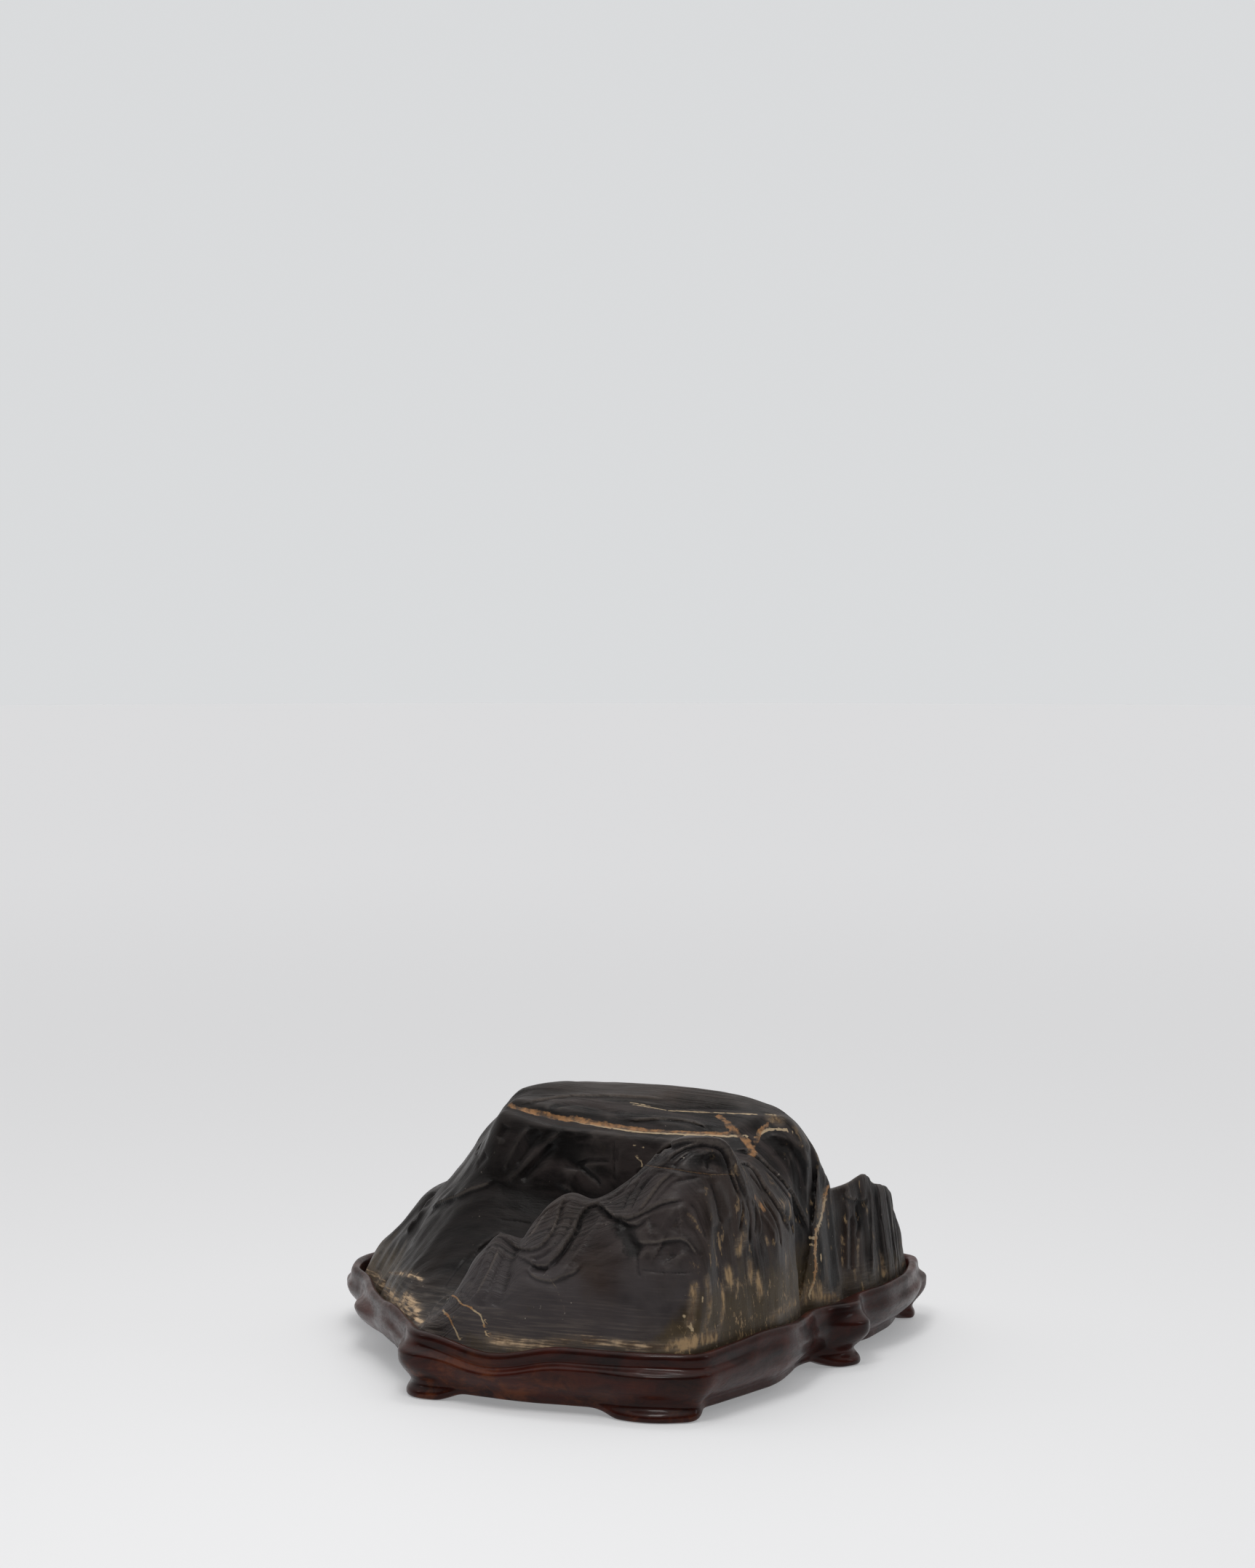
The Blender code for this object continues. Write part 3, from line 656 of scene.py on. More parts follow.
def layerStrength(p):  # the layers stand out on the crests and cliffs and are worn away elsewhere
    x, y, z = p[:, 0], p[:, 1], p[:, 2]
    crestY, crestZ = lineAt(stoneLines["frontCrest"], np.clip(x, -229, 29))
    ridge = bump(np.minimum(z - crestZ, 0), 0, 20) * fade(y, 66, 56) * (1 - 0.65 * fade(x, -34, -16))
    ridge = ridge * (1 - 0.85 * fade(x, -112, -126))
    cliff = layerValues["cliff"] * fade(x, -22, -6) * fade(z, 48, 74) * fade(y, 30, 50)
    rightPeaks = layerValues["rightPeaks"] * fade(x, -34, -12) * fade(y, 118, 128) * fade(z, 24, 46)
    back = layerValues["back"] * fade(y, 150, 170)
    cap = layerValues["cap"] * fade(z, 98, 104) * fade(y, 88, 96) * fade(y, 150, 140)
    hillside = layerValues["hillside"] * leftHillside(x, y)
    worn = np.full(len(x), layerValues["worn"])
    strength = np.maximum.reduce([worn, ridge, cliff, rightPeaks, back, cap, hillside])
    patches = 0.75 + 0.5 * softNoise(p, (22, 16, 18), 9)
    return strength * patches


def shapeLayers(stone):
    points = getPoints(stone)
    normals = getNormals(stone)
    p = toDrawing(points)
    where, height = layerProfile()
    place = layerPlace(p)
    relief = np.interp(place, where, height) * layerStrength(p)
    relief += sum(strength * softNoise(p, size, seed) for strength, size, seed in layerValues["lumps"])
    folds = leftHillside(p[:, 0], p[:, 1]) * fade(p[:, 1], 150, 128)
    wayX, wayY = layerValues["foldWay"]
    across = wayX * p[:, 0] + wayY * p[:, 1]
    across = across + 5 * softNoise(p, (30, 30, 18), 25)
    (high, long), (smallHigh, smallLong) = layerValues["folds"], layerValues["smallFolds"]
    relief += folds * (high * np.sin(2 * math.pi * across / long + 1.2)
                       + smallHigh * np.sin(2 * math.pi * across / smallLong + 0.6 * p[:, 1] / 10))
    keep = fade(p[:, 2], stoneValues["foot"] + 1, 26)  # the foot stays clear of its seat
    setPoints(stone, points + normals * (relief * keep * mm)[:, None])
    print("layers cut")


def castOn(tree, pixels, spacing):  # points on the stone behind a line of pixels of the view
    corners = np.array(pixels, float)
    length = lengthAlong(corners)
    count = max(2, int(length[-1] / spacing) + 1)
    where = np.linspace(0, length[-1], count)
    if len(corners) > 2:
        px, py = (curveAt(length, corners[:, i], where) for i in (0, 1))
    else:
        px, py = (np.interp(where, length, corners[:, i]) for i in (0, 1))
    found = []
    spot = Vector(cameraValues["spot"])
    for u, v in zip(px, py):
        hit = tree.ray_cast(spot, rayThrough(u, v))
        if hit[0] is not None:
            found.append(hit[0])
    return np.array(found).reshape(-1, 3)


def stoneTree(stone):
    made = bmesh.new()
    made.from_mesh(stone.data)
    tree = BVHTree.FromBMesh(made)
    made.free()
    return tree


def nearLine(points, line, reach):  # the points near a line, how far off and how far along they lie
    low, high = line.min(0) - reach, line.max(0) + reach
    near = np.flatnonzero(np.all((points > low) & (points < high), axis=1))
    if not len(near):
        return near, np.zeros(0), np.zeros(0), near
    best = np.full(len(near), 1e9)
    which = np.zeros(len(near), int)
    for k, spot in enumerate(line):
        gap = np.linalg.norm(points[near] - spot, axis=1)
        closer = gap < best
        best[closer] = gap[closer]
        which[closer] = k
    return near, best, which / max(len(line) - 1, 1), which


def sideOfLine(line, which, px, py):  # how far a pixel lies to one side of its nearest step, and the step
    lineX, lineY = pixelsOf(line)
    runX, runY = np.gradient(lineX), np.gradient(lineY)
    side = runX[which] * (py - lineY[which]) - runY[which] * (px - lineX[which])
    return side, np.hypot(runX[which], runY[which])


# carveReach, lipBack, lipUnder, lipEnd and lipFade are in half widths of a line, the spacings in pixels of
# the view, and lipLight and threadReach in millimetres
lineValues = {"carveStrength": 1.3, "carveReach": 4.5, "carveSpacing": 2.5, "lipBack": 2.4, "lipDrop": 1.9,
              "lipRise": 0.9, "lipUnder": 0.9, "lipEnd": 4.2, "lipFade": 3.4, "paintSpacing": 1.2,
              "lipLight": 1.4, "threadReach": 3, "farFromThread": 9.0}

# how the line shows, its height and half width in millimetres, and its pixels, left to right or top down
carvedLines = [
    # left peak and the low spur beside it
    ("rib", 0.5, 1.0, [(651, 1721), (660, 1714), (673, 1704), (687, 1697), (697, 1701), (706, 1708)]),
    ("lip", 0.5, 0.8, [(687, 1700), (696, 1702), (702, 1708), (714, 1716), (728, 1718), (739, 1715),
                       (749, 1706), (758, 1694), (762, 1685), (766, 1674), (770, 1658), (776, 1647),
                       (784, 1641)]),
    ("lip", 0.7, 0.9, [(705, 1722), (717, 1729), (728, 1734), (739, 1740), (749, 1740), (758, 1733),
                       (769, 1722), (778, 1708), (787, 1694), (794, 1676), (801, 1665), (810, 1657),
                       (821, 1655), (830, 1660), (838, 1667), (849, 1675), (862, 1681), (874, 1683),
                       (885, 1676), (900, 1666)]),
    ("lip", 0.4, 0.7, [(755, 1663), (744, 1676), (735, 1690), (728, 1699), (722, 1704)]),
    ("groove", 0.5, 0.7, [(774, 1658), (768, 1667), (763, 1681), (755, 1692), (748, 1699)]),
    ("groove", 0.5, 0.8, [(789, 1672), (784, 1685), (776, 1697), (767, 1708), (758, 1719), (749, 1726),
                          (737, 1731), (726, 1731)]),
    ("groove", 0.5, 0.8, [(800, 1676), (795, 1690), (786, 1704), (777, 1718), (767, 1731), (758, 1742)]),
    ("rib", 0.6, 1.6, [(830, 1669), (821, 1685), (810, 1699), (801, 1713), (789, 1729), (778, 1742),
                       (769, 1754), (758, 1759)]),
    ("lip", 0.5, 1.0, [(724, 1744), (733, 1754), (744, 1759), (758, 1761), (769, 1756), (787, 1749),
                       (799, 1738)]),
    ("groove", 0.9, 2.4, [(730, 1738), (741, 1744), (752, 1746)]),
    ("groove", 0.3, 0.7, [(683, 1704), (674, 1713), (664, 1729), (658, 1744), (651, 1758), (644, 1769)]),
    ("groove", 0.25, 0.6, [(674, 1708), (660, 1719), (649, 1735), (639, 1751), (628, 1767), (619, 1779)]),
    ("lip", 0.35, 0.8, [(687, 1713), (680, 1729), (674, 1742), (667, 1756), (660, 1769), (651, 1785)]),
    ("groove", 0.3, 0.8, [(696, 1719), (689, 1738), (683, 1751), (676, 1767), (669, 1781), (660, 1792)]),
    ("groove", 0.4, 0.8, [(651, 1722), (637, 1735), (626, 1749), (614, 1765), (605, 1781)]),
    ("rib", 0.7, 1.5, [(583, 1826), (592, 1810), (603, 1795), (617, 1784), (628, 1785), (640, 1791)]),
    ("groove", 0.35, 1.4, [(628, 1776), (642, 1783), (656, 1794), (668, 1797)]),
    ("groove", 0.4, 2.2, [(704, 1748), (697, 1764), (690, 1780), (676, 1796)]),
    # middle saddle and the left side of the tall dome
    ("lip", 0.55, 0.8, [(820, 1651), (831, 1660), (840, 1669), (849, 1674), (863, 1674), (874, 1671),
                        (888, 1664), (899, 1658), (911, 1653), (927, 1650), (943, 1649)]),
    ("groove", 0.5, 0.7, [(856, 1664), (862, 1647), (873, 1631), (882, 1617), (895, 1609)]),
    ("groove", 0.5, 0.7, [(865, 1667), (873, 1649), (884, 1631), (895, 1618), (906, 1611), (919, 1611)]),
    ("lip", 0.4, 0.7, [(876, 1668), (887, 1653), (900, 1635), (911, 1622), (925, 1613)]),
    ("groove", 0.4, 0.8, [(897, 1657), (911, 1640), (927, 1626), (947, 1621), (965, 1618)]),
    ("groove", 0.5, 0.7, [(842, 1646), (855, 1637), (868, 1622), (880, 1608), (890, 1601)]),
    ("lip", 1.0, 1.5, [(895, 1596), (910, 1581), (927, 1572), (947, 1568), (970, 1568), (986, 1570),
                        (998, 1578), (1005, 1591), (1012, 1608), (1019, 1624), (1025, 1638), (1032, 1650)]),
    ("lip", 0.7, 0.8, [(915, 1599), (929, 1585), (947, 1575), (965, 1571), (983, 1573), (996, 1580),
                       (1003, 1593), (1007, 1608), (1012, 1624), (1017, 1638), (1022, 1648)]),
    ("groove", 0.5, 0.8, [(924, 1608), (937, 1594), (952, 1584), (967, 1580)]),
    ("groove", 1.1, 2.6, [(976, 1586), (979, 1596), (977, 1608)]),
    ("groove", 0.7, 1.2, [(971, 1590), (974, 1601), (975, 1611)]),
    ("groove", 0.35, 0.5, [(886, 1602), (915, 1606), (947, 1612), (979, 1615), (1008, 1614)]),
    # front of the tall dome
    ("groove", 0.6, 0.9, [(976, 1624), (981, 1636), (986, 1654), (989, 1670), (993, 1684)]),
    ("rib", 0.5, 2.2, [(983, 1622), (992, 1640), (999, 1660), (1002, 1678)]),
    ("rib", 0.5, 2.2, [(966, 1632), (972, 1650), (978, 1670), (983, 1690)]),
    ("groove", 0.6, 1.0, [(947, 1652), (956, 1663), (963, 1679), (968, 1692), (972, 1706)]),
    ("groove", 0.4, 0.9, [(943, 1706), (954, 1717), (965, 1727)]),
    ("lip", 0.4, 1.0, [(865, 1704), (884, 1708), (899, 1708), (918, 1704), (934, 1703), (944, 1707),
                       (954, 1719), (963, 1731)]),
    ("groove", 1.4, 3.4, [(852, 1680), (862, 1694), (872, 1714), (880, 1726)]),
    ("groove", 0.5, 0.6, [(873, 1722), (876, 1733), (877, 1745), (880, 1757)]),
    ("groove", 0.4, 0.5, [(879, 1746), (895, 1748), (922, 1750), (938, 1750), (955, 1749)]),
    ("rib", 0.5, 2.0, [(940, 1720), (934, 1733), (924, 1744), (911, 1750)]),
    ("groove", 0.9, 4.5, [(905, 1715), (918, 1722), (924, 1732)]),
    ("groove", 0.7, 5.0, [(890, 1690), (915, 1682), (935, 1680)]),
    ("rib", 0.6, 2.5, [(945, 1655), (925, 1668), (905, 1690), (892, 1700)]),
    # nested ribs right of the dome
    ("lip", 0.7, 0.9, [(1013, 1600), (1024, 1600), (1035, 1606), (1044, 1618), (1052, 1632), (1061, 1644),
                       (1070, 1658), (1077, 1669), (1082, 1681), (1086, 1694)]),
    ("lip", 0.8, 1.0, [(1008, 1581), (1018, 1581), (1031, 1583), (1045, 1592), (1056, 1604), (1068, 1615),
                       (1079, 1627), (1088, 1640), (1095, 1654), (1102, 1669), (1109, 1685), (1113, 1697)]),
    ("rib", 0.5, 0.8, [(1032, 1647), (1038, 1658), (1043, 1672), (1045, 1685), (1044, 1700)]),
    ("rib", 0.5, 0.8, [(1045, 1667), (1052, 1676), (1059, 1686), (1064, 1697), (1065, 1712)]),
    ("groove", 0.6, 0.7, [(1036, 1650), (1039, 1664), (1040, 1680), (1038, 1698)]),
    ("groove", 0.6, 0.7, [(1020, 1649), (1022, 1663), (1020, 1677), (1017, 1694)]),
    ("groove", 0.6, 0.7, [(1026, 1647), (1030, 1663), (1032, 1677), (1031, 1695), (1030, 1710)]),
    ("groove", 0.6, 0.8, [(1048, 1650), (1058, 1662), (1068, 1680), (1073, 1700), (1074, 1716)]),
    ("groove", 1.0, 1.5, [(1076, 1662), (1083, 1671), (1089, 1684), (1091, 1696)]),
    ("groove", 0.6, 0.9, [(1050, 1606), (1062, 1618), (1074, 1632), (1084, 1646), (1092, 1662),
                          (1099, 1680)]),
    ("groove", 0.5, 0.8, [(1030, 1613), (1040, 1626), (1049, 1640)]),
    ("rib", 0.4, 1.8, [(1045, 1566), (1065, 1561), (1083, 1566), (1095, 1575), (1106, 1589), (1115, 1606)]),
    ("groove", 0.3, 1.6, [(1070, 1572), (1086, 1580), (1098, 1596), (1106, 1614), (1110, 1632)]),
    ("groove", 0.25, 1.4, [(1062, 1585), (1074, 1592), (1082, 1606), (1086, 1622)]),
    ("rib", 0.35, 2.2, [(1108, 1572), (1120, 1590), (1129, 1610), (1134, 1630)]),
    # cliff under the ledge
    ("groove", 0.35, 0.5, [(844, 1568), (844, 1596), (845, 1626)]),
    ("groove", 0.3, 0.5, [(848, 1578), (848, 1598)]),
    ("groove", 0.5, 0.9, [(790, 1603), (799, 1600), (813, 1596), (839, 1597)]),
    ("groove", 0.6, 1.0, [(797, 1602), (808, 1613), (820, 1622), (827, 1632)]),
    ("rib", 0.7, 4.0, [(786, 1606), (784, 1620), (776, 1636)]),
    ("rib", 0.7, 2.0, [(775, 1556), (761, 1565), (744, 1580), (730, 1594), (718, 1606), (706, 1618),
                       (694, 1632)]),
    ("groove", 0.8, 2.2, [(764, 1574), (748, 1590), (732, 1606), (716, 1624)]),
    ("rib", 0.6, 1.6, [(728, 1549), (716, 1565), (706, 1582), (699, 1596), (692, 1613)]),
    ("groove", 0.6, 1.6, [(744, 1556), (731, 1572), (720, 1588), (710, 1602)]),
    ("groove", 0.5, 2.0, [(697, 1548), (692, 1556), (687, 1566)]),
    ("groove", 0.6, 2.0, [(659, 1574), (656, 1582), (653, 1588)]),
    ("groove", 0.6, 1.9, [(669, 1586), (662, 1596), (655, 1604)]),
    ("lip", 0.6, 1.8, [(592, 1661), (609, 1651), (628, 1644), (647, 1635), (666, 1629), (678, 1622)]),
    ("rib", 0.8, 1.6, [(594, 1647), (582, 1665), (568, 1682), (559, 1696)]),
    ("groove", 1.0, 2.2, [(598, 1638), (589, 1649), (580, 1662), (569, 1681)]),
    ("groove", 0.25, 0.4, [(685, 1677), (706, 1679), (732, 1683)]),
    # summit layers
    ("lip", 0.4, 0.9, [(706, 1522), (718, 1518), (737, 1513), (761, 1509), (790, 1506), (837, 1506),
                       (880, 1508), (930, 1513)]),
    ("groove", 0.6, 1.6, [(752, 1524), (770, 1519), (790, 1517), (813, 1520), (837, 1526), (860, 1531)]),
    ("lip", 0.4, 0.8, [(862, 1541), (876, 1540), (903, 1538), (937, 1540), (962, 1546), (974, 1553)]),
    ("groove", 0.4, 0.9, [(820, 1512), (862, 1514), (903, 1521), (945, 1524), (985, 1523), (1030, 1527)]),
    # peaks at the right end
    ("lip", 0.5, 1.0, [(1159, 1639), (1170, 1648), (1183, 1650), (1192, 1646)]),
    ("groove", 0.7, 1.2, [(1178, 1654), (1178, 1668), (1181, 1684), (1178, 1704)]),
    ("rib", 0.7, 1.3, [(1163, 1672), (1163, 1706), (1164, 1748)]),
    ("groove", 0.8, 1.3, [(1171, 1668), (1172, 1706), (1172, 1750)]),
    ("groove", 0.7, 1.2, [(1203, 1634), (1208, 1670), (1212, 1716), (1214, 1750)]),
    ("rib", 0.6, 1.0, [(1195, 1630), (1197, 1664), (1198, 1710), (1199, 1752)]),
    ("groove", 0.5, 0.8, [(1218, 1640), (1223, 1670), (1228, 1706), (1231, 1738)]),
]

paintedLines = {  # half width in millimetres and the pixels of each line of colour
    "orange": [(1.1, [(701, 1519), (712, 1524), (730, 1529), (750, 1533), (764, 1537)]),
               (1.0, [(745, 1532), (770, 1537), (784, 1540)]),
               (1.2, [(989, 1535), (1000, 1545), (1010, 1555), (1022, 1566), (1031, 1577)]),
               (0.8, [(1055, 1545), (1045, 1555), (1040, 1567), (1034, 1580)]),
               (2.0, [(1027, 1570), (1031, 1576), (1034, 1584)]),
               (1.0, [(1038, 1646), (1044, 1655), (1050, 1664)]),
               (0.5, [(1084, 1641), (1086, 1645)]),
               (1.15, [(784, 1538), (811, 1543), (840, 1548), (880, 1554)]),
               (0.8, [(880, 1554), (923, 1556), (960, 1558), (1001, 1559)])],
    # deep: painted shade in clefts, hollows and on a shaded facet
    "deep": [(5.0, [(1146, 1684), (1145, 1720), (1144, 1756)]),
             (2.6, [(850, 1684), (862, 1698), (872, 1720)]),
             (2.2, [(960, 1592), (980, 1590), (996, 1600)]),
             (1.4, [(1083, 1666), (1089, 1694)]),
             (2.0, [(1134, 1690), (1130, 1720), (1130, 1756)]),
             (3.0, [(1179, 1654), (1180, 1678)])],
    "cream": [(0.7, [(776, 1537), (800, 1543), (820, 1547), (840, 1551), (860, 1554), (880, 1557)]),
              (0.6, [(880, 1557), (923, 1559), (960, 1560), (1001, 1562), (1026, 1562)]),
              (0.36, [(872, 1519), (896, 1523), (920, 1527), (960, 1529), (990, 1530), (1035, 1532),
                     (1070, 1533)]),
              (0.6, [(1036, 1566), (1046, 1558), (1060, 1553), (1076, 1553), (1088, 1556)]),
              (0.5, [(1113, 1702), (1121, 1703)]),
              (0.5, [(1113, 1711), (1122, 1713)]),
              (0.4, [(1122, 1727), (1129, 1728)]),
              (0.45, [(871, 1576), (873, 1576)]),
              (0.4, [(882, 1577), (887, 1576)]),
              (0.5, [(877, 1591), (880, 1597), (882, 1603)]),
              (0.3, [(854, 1614), (856, 1614)]),
              (0.3, [(815, 1629), (816, 1630)]),
              (0.3, [(866, 1516), (884, 1519), (895, 1521)]),
              (0.7, [(940, 1812), (945, 1814)]), (0.7, [(947, 1824), (952, 1826)]),
              (0.4, [(958, 1800), (957, 1806)]), (0.4, [(966, 1784), (966, 1789)])],
    "tan": [(1.8, [(676, 1842), (700, 1845), (735, 1850), (760, 1846), (800, 1842)]),
            (1.6, [(800, 1843), (840, 1847), (880, 1851), (930, 1853), (962, 1846), (985, 1838)]),
            (2.0, [(925, 1848), (945, 1844), (985, 1834)]),
            (2.6, [(1100, 1792), (1118, 1782), (1135, 1784), (1150, 1786)]),
            (3.0, [(1112, 1775), (1122, 1770)]),
            (1.6, [(1060, 1812), (1078, 1800), (1094, 1790)]),
            (2.0, [(1024, 1699), (1019, 1708), (1015, 1719)]),
            (1.5, [(955, 1768), (952, 1796), (948, 1822)]),
            (1.7, [(973, 1760), (976, 1790), (970, 1824)]),
            (1.2, [(992, 1768), (994, 1796), (990, 1822)]),
            (0.8, [(1053, 1702), (1055, 1710)]),
            (1.8, [(1134, 1640), (1129, 1655), (1125, 1672)]),
            (1.8, [(1030, 1735), (1032, 1758)]),
            (1.8, [(1040, 1754), (1046, 1778)]),
            (2.4, [(1000, 1749), (1004, 1765)]),
            (0.7, [(1180, 1705), (1179, 1725), (1179, 1745)]),
            (0.6, [(1175, 1746), (1176, 1762)]),
            (1.2, [(1209, 1722), (1213, 1740), (1214, 1754)]),
            (0.8, [(1233, 1731), (1232, 1744)]),
            (1.2, [(1240, 1740), (1248, 1732)]),
            (2.2, [(1063, 1536), (1070, 1541)]),
            (1.9, [(500, 1736), (518, 1756), (538, 1780), (558, 1802), (580, 1818)]),
            (2.2, [(556, 1782), (566, 1792), (574, 1802)]),
            (0.9, [(535, 1750), (560, 1752), (580, 1760)])]}

thinLines = [  # threads of colour: half width in pixels, strength, and the pixels of each
    (1.3, 1.0, [(620, 1781), (627, 1784), (633, 1792), (645, 1797), (653, 1803), (660, 1808),
                (664, 1818), (667, 1830), (672, 1842)]),
    (1.2, 1.0, [(608, 1801), (617, 1811), (622, 1822), (628, 1833), (633, 1845)]),
    (0.7, 0.41, [(746, 1743), (757, 1760), (766, 1773), (770, 1785), (776, 1800), (780, 1840)]),
    (0.7, 0.43, [(884, 1601), (905, 1605), (930, 1608), (960, 1613), (985, 1615), (1012, 1614)]),
    (1.7, 1.0, [(1145, 1622), (1137, 1635), (1133, 1650), (1131, 1665), (1127, 1680), (1122, 1694),
                (1121, 1710), (1121, 1735), (1120, 1758), (1116, 1770), (1110, 1786)])]


def carveLines(stone):
    tree = stoneTree(stone)
    points = getPoints(stone)
    normals = getNormals(stone)
    px, py = pixelsOf(points)
    shift = np.zeros(len(points))
    for kind, height, width, pixels in carvedLines:
        line = castOn(tree, pixels, lineValues["carveSpacing"])
        if len(line) < 2:
            continue
        reach = lineValues["carveReach"] * width
        near, gap, part, which = nearLine(points, line, reach * mm)
        gap = gap / mm
        taper = fade(part, -0.02, 0.14) * fade(part, 1.02, 0.86) if len(line) > 4 else 1.0
        if kind == "lip":  # a proud edge with a hollow under it, or to its left where it runs down
            side, _ = sideOfLine(line, which, px[near], py[near])
            away = gap * np.sign(side)
            under = lineValues["lipUnder"] * width
            above = np.exp(np.minimum(away, 0) / (lineValues["lipBack"] * width))
            below = (1 - lineValues["lipDrop"] * fade(away, 0, under)
                     + lineValues["lipRise"] * fade(away, under, lineValues["lipEnd"] * width))
            shape = np.where(away <= 0, above, below) * fade(gap, reach, lineValues["lipFade"] * width)
        else:
            shape = bump(gap, 0, width) * (1 if kind == "rib" else -1)
        shift[near] += lineValues["carveStrength"] * height * shape * taper
    setPoints(stone, points + normals * (shift * mm)[:, None])
    print("carved", len(carvedLines), "lines")


def keepThreads(stone, tree, points):  # which side of the nearest thread each point lies, in half widths
    px, py = pixelsOf(points)
    reach = lineValues["threadReach"]
    thread = np.full(len(points), lineValues["farFromThread"])
    nearest = np.full(len(points), float(reach))
    shown = np.zeros(len(points))
    for halfWidth, strength, pixels in thinLines:
        line = castOn(tree, pixels, lineValues["paintSpacing"])
        near, gap, _, which = nearLine(points, line, reach * mm)
        side, step = sideOfLine(line, which, px[near], py[near])
        closer = (gap / mm < nearest[near]) & (which > 0) & (which < len(line) - 1)
        thread[near[closer]] = (side / step / halfWidth)[closer]
        nearest[near[closer]] = gap[closer] / mm
        shown[near[closer]] = strength
    keepAttribute(stone, "thread", thread)
    keepAttribute(stone, "threadNear", shown * (1 - nearest / reach))


def paintLines(stone, tree):
    points = getPoints(stone)
    spacing, lipLight = lineValues["paintSpacing"], lineValues["lipLight"] * mm
    for colour, strokes in paintedLines.items():
        share = np.zeros(len(points))
        for halfWidth, pixels in strokes:
            line = castOn(tree, pixels, spacing)
            if not len(line):
                continue
            near, gap, _, _ = nearLine(points, line, 3 * halfWidth * mm)
            share[near] = np.maximum(share[near], 1 - gap / (2 * halfWidth * mm))
        keepAttribute(stone, colour, share)
    keepThreads(stone, tree, points)
    # painted highlights along the carved lips
    lit = np.zeros(len(points))
    for kind, _, _, pixels in carvedLines:
        if kind == "lip":
            line = castOn(tree, pixels, spacing)
            near, gap, part, _ = nearLine(points, line, lipLight)
            ends = fade(part, 0, 0.15) * fade(part, 1, 0.85)
            lit[near] = np.maximum(lit[near], ends * (1 - gap / lipLight))
    keepAttribute(stone, "lip", lit)
    paintPlaces(stone, toDrawing(points))
    keepEdges(stone, "edge", stoneValues["edgeRounds"])
    keepEdges(stone, "hollow", stoneValues["hollowRounds"])
    print("painted")


def paintPlaces(stone, p):  # shares that tell the material which part of the stone a point is on
    keepAttribute(stone, "sheet", layerPlace(p))
    keepAttribute(stone, "sheetShare", layerStrength(p))
    outline = stoneOutline()
    inside = depthInside(outline, p[:, 0], p[:, 1])
    keepAttribute(stone, "foot", 1 - np.clip((p[:, 2] - 24) / 16, 0, 1))
    keepAttribute(stone, "cliff", fade(p[:, 0], -24, -4) * fade(inside, 16, 4) * fade(p[:, 1], 8, 20))
    crestY, crestZ = lineAt(stoneLines["frontCrest"], np.clip(p[:, 0], -229, 29))
    # where shade is painted: the left hillside and the valley behind the front crest
    behindCrest = fade(p[:, 1] - crestY, 3, 9) * fade(p[:, 1], 80, 72) * fade(p[:, 0], -30, -45)
    hillside = leftHillside(p[:, 0], p[:, 1]) * fade(p[:, 1], 160, 130)
    keepAttribute(stone, "shaded", np.maximum(hillside, 0.8 * behindCrest) * fade(p[:, 2], 20, 32))
    edgeOfSkin = -20 + 16 * np.clip((p[:, 2] - 28) / 22, 0, 1)
    skin = fade(p[:, 0] - edgeOfSkin, -4, 5) * fade(p[:, 2], 66, 36) * fade(p[:, 1], 136, 110)
    skin = np.maximum(skin, 0.8 * fade(p[:, 0], -150, -168) * fade(p[:, 2], 52, 30))
    skin = np.maximum(skin, 0.7 * fade(p[:, 2], 32, 22) * fade(inside, 14, 3) * fade(p[:, 0], -112, -98))
    skin = np.maximum(skin, 0.6 * fade(p[:, 1], 118, 130) * fade(p[:, 2], 48, 28))
    keepAttribute(stone, "skin", skin)
    keepAttribute(stone, "upright", fade(p[:, 0], -22, -10) * fade(p[:, 2], 22, 28))
    front = fade(p[:, 1] - crestY, 9, 1) * fade(p[:, 2] - crestZ, 8, 1) * fade(p[:, 0], 6, -8)
    keepAttribute(stone, "front", front)


standValues = {"stations": 300, "rim": 27.0, "seatFloor": 11.7, "underside": 7.0, "lift": 2.8,
               "unevenness": 0.16, "footUnevenness": 0.1, "smallNoise": 0.3,
               # x, y, half length, then how far the rim, the belly and the foot stand out there
               "feet": [(-118, 2, 20, 1.6, 3.0, 5.2), (-16, -3, 27, 0.6, 2.4, 5.6),
                        (13, 126, 17, 5.2, 3.4, 8.0), (5, 229, 14, 0.8, 3.0, 2.4),
                        (-66, 238, 16, 0.5, 2.0, 3.0), (-176, 214, 20, 1.0, 3.5, 3.6),
                        (-211, 134, 18, 0.5, 2.0, 2.4)],
               "lobes": [(-176, 72, 26, 4), (-210, 124, 24, 1.4), (14, 205, 26, 1), (-112, 235, 20, 1.5)],
               "rimDips": [(-84, -4, 32, 4.8), (-147, 36, 22, -1.5), (8, 50, 42, -1.8),
                           (-118, 235, 20, 2)],
               "tucks": [(-60, -4, 2), (10, 66, 4.5), (16, 180, 6), (-30, 239, 5), (-130, 232, 5),
                         (-200, 180, 7), (-172, 66, 8)],
               # how deep the bead's groove is: full on the front, shallow round the corners
               "beadDepth": [(-128, 6, 0.25), (-100, -2, 0.9), (-60, -4, 1.0), (-30, -2, 0.9),
                             (2, 10, 0.6), (9, 50, 0.05), (14, 126, 0.05), (5, 229, 0.3), (-100, 235, 0.6),
                             (-211, 134, 0.2), (-176, 72, 0.1)]}


def easedAlong(loop, spots, reach=30):  # a value given at a few spots, eased all round the loop
    total = np.zeros(len(loop))
    weight = np.zeros(len(loop))
    for x, y, value in spots:
        near = np.exp(-(alongGap(loop, (x, y)) / reach) ** 2) + 1e-6
        total += value * near
        weight += near
    return total / weight


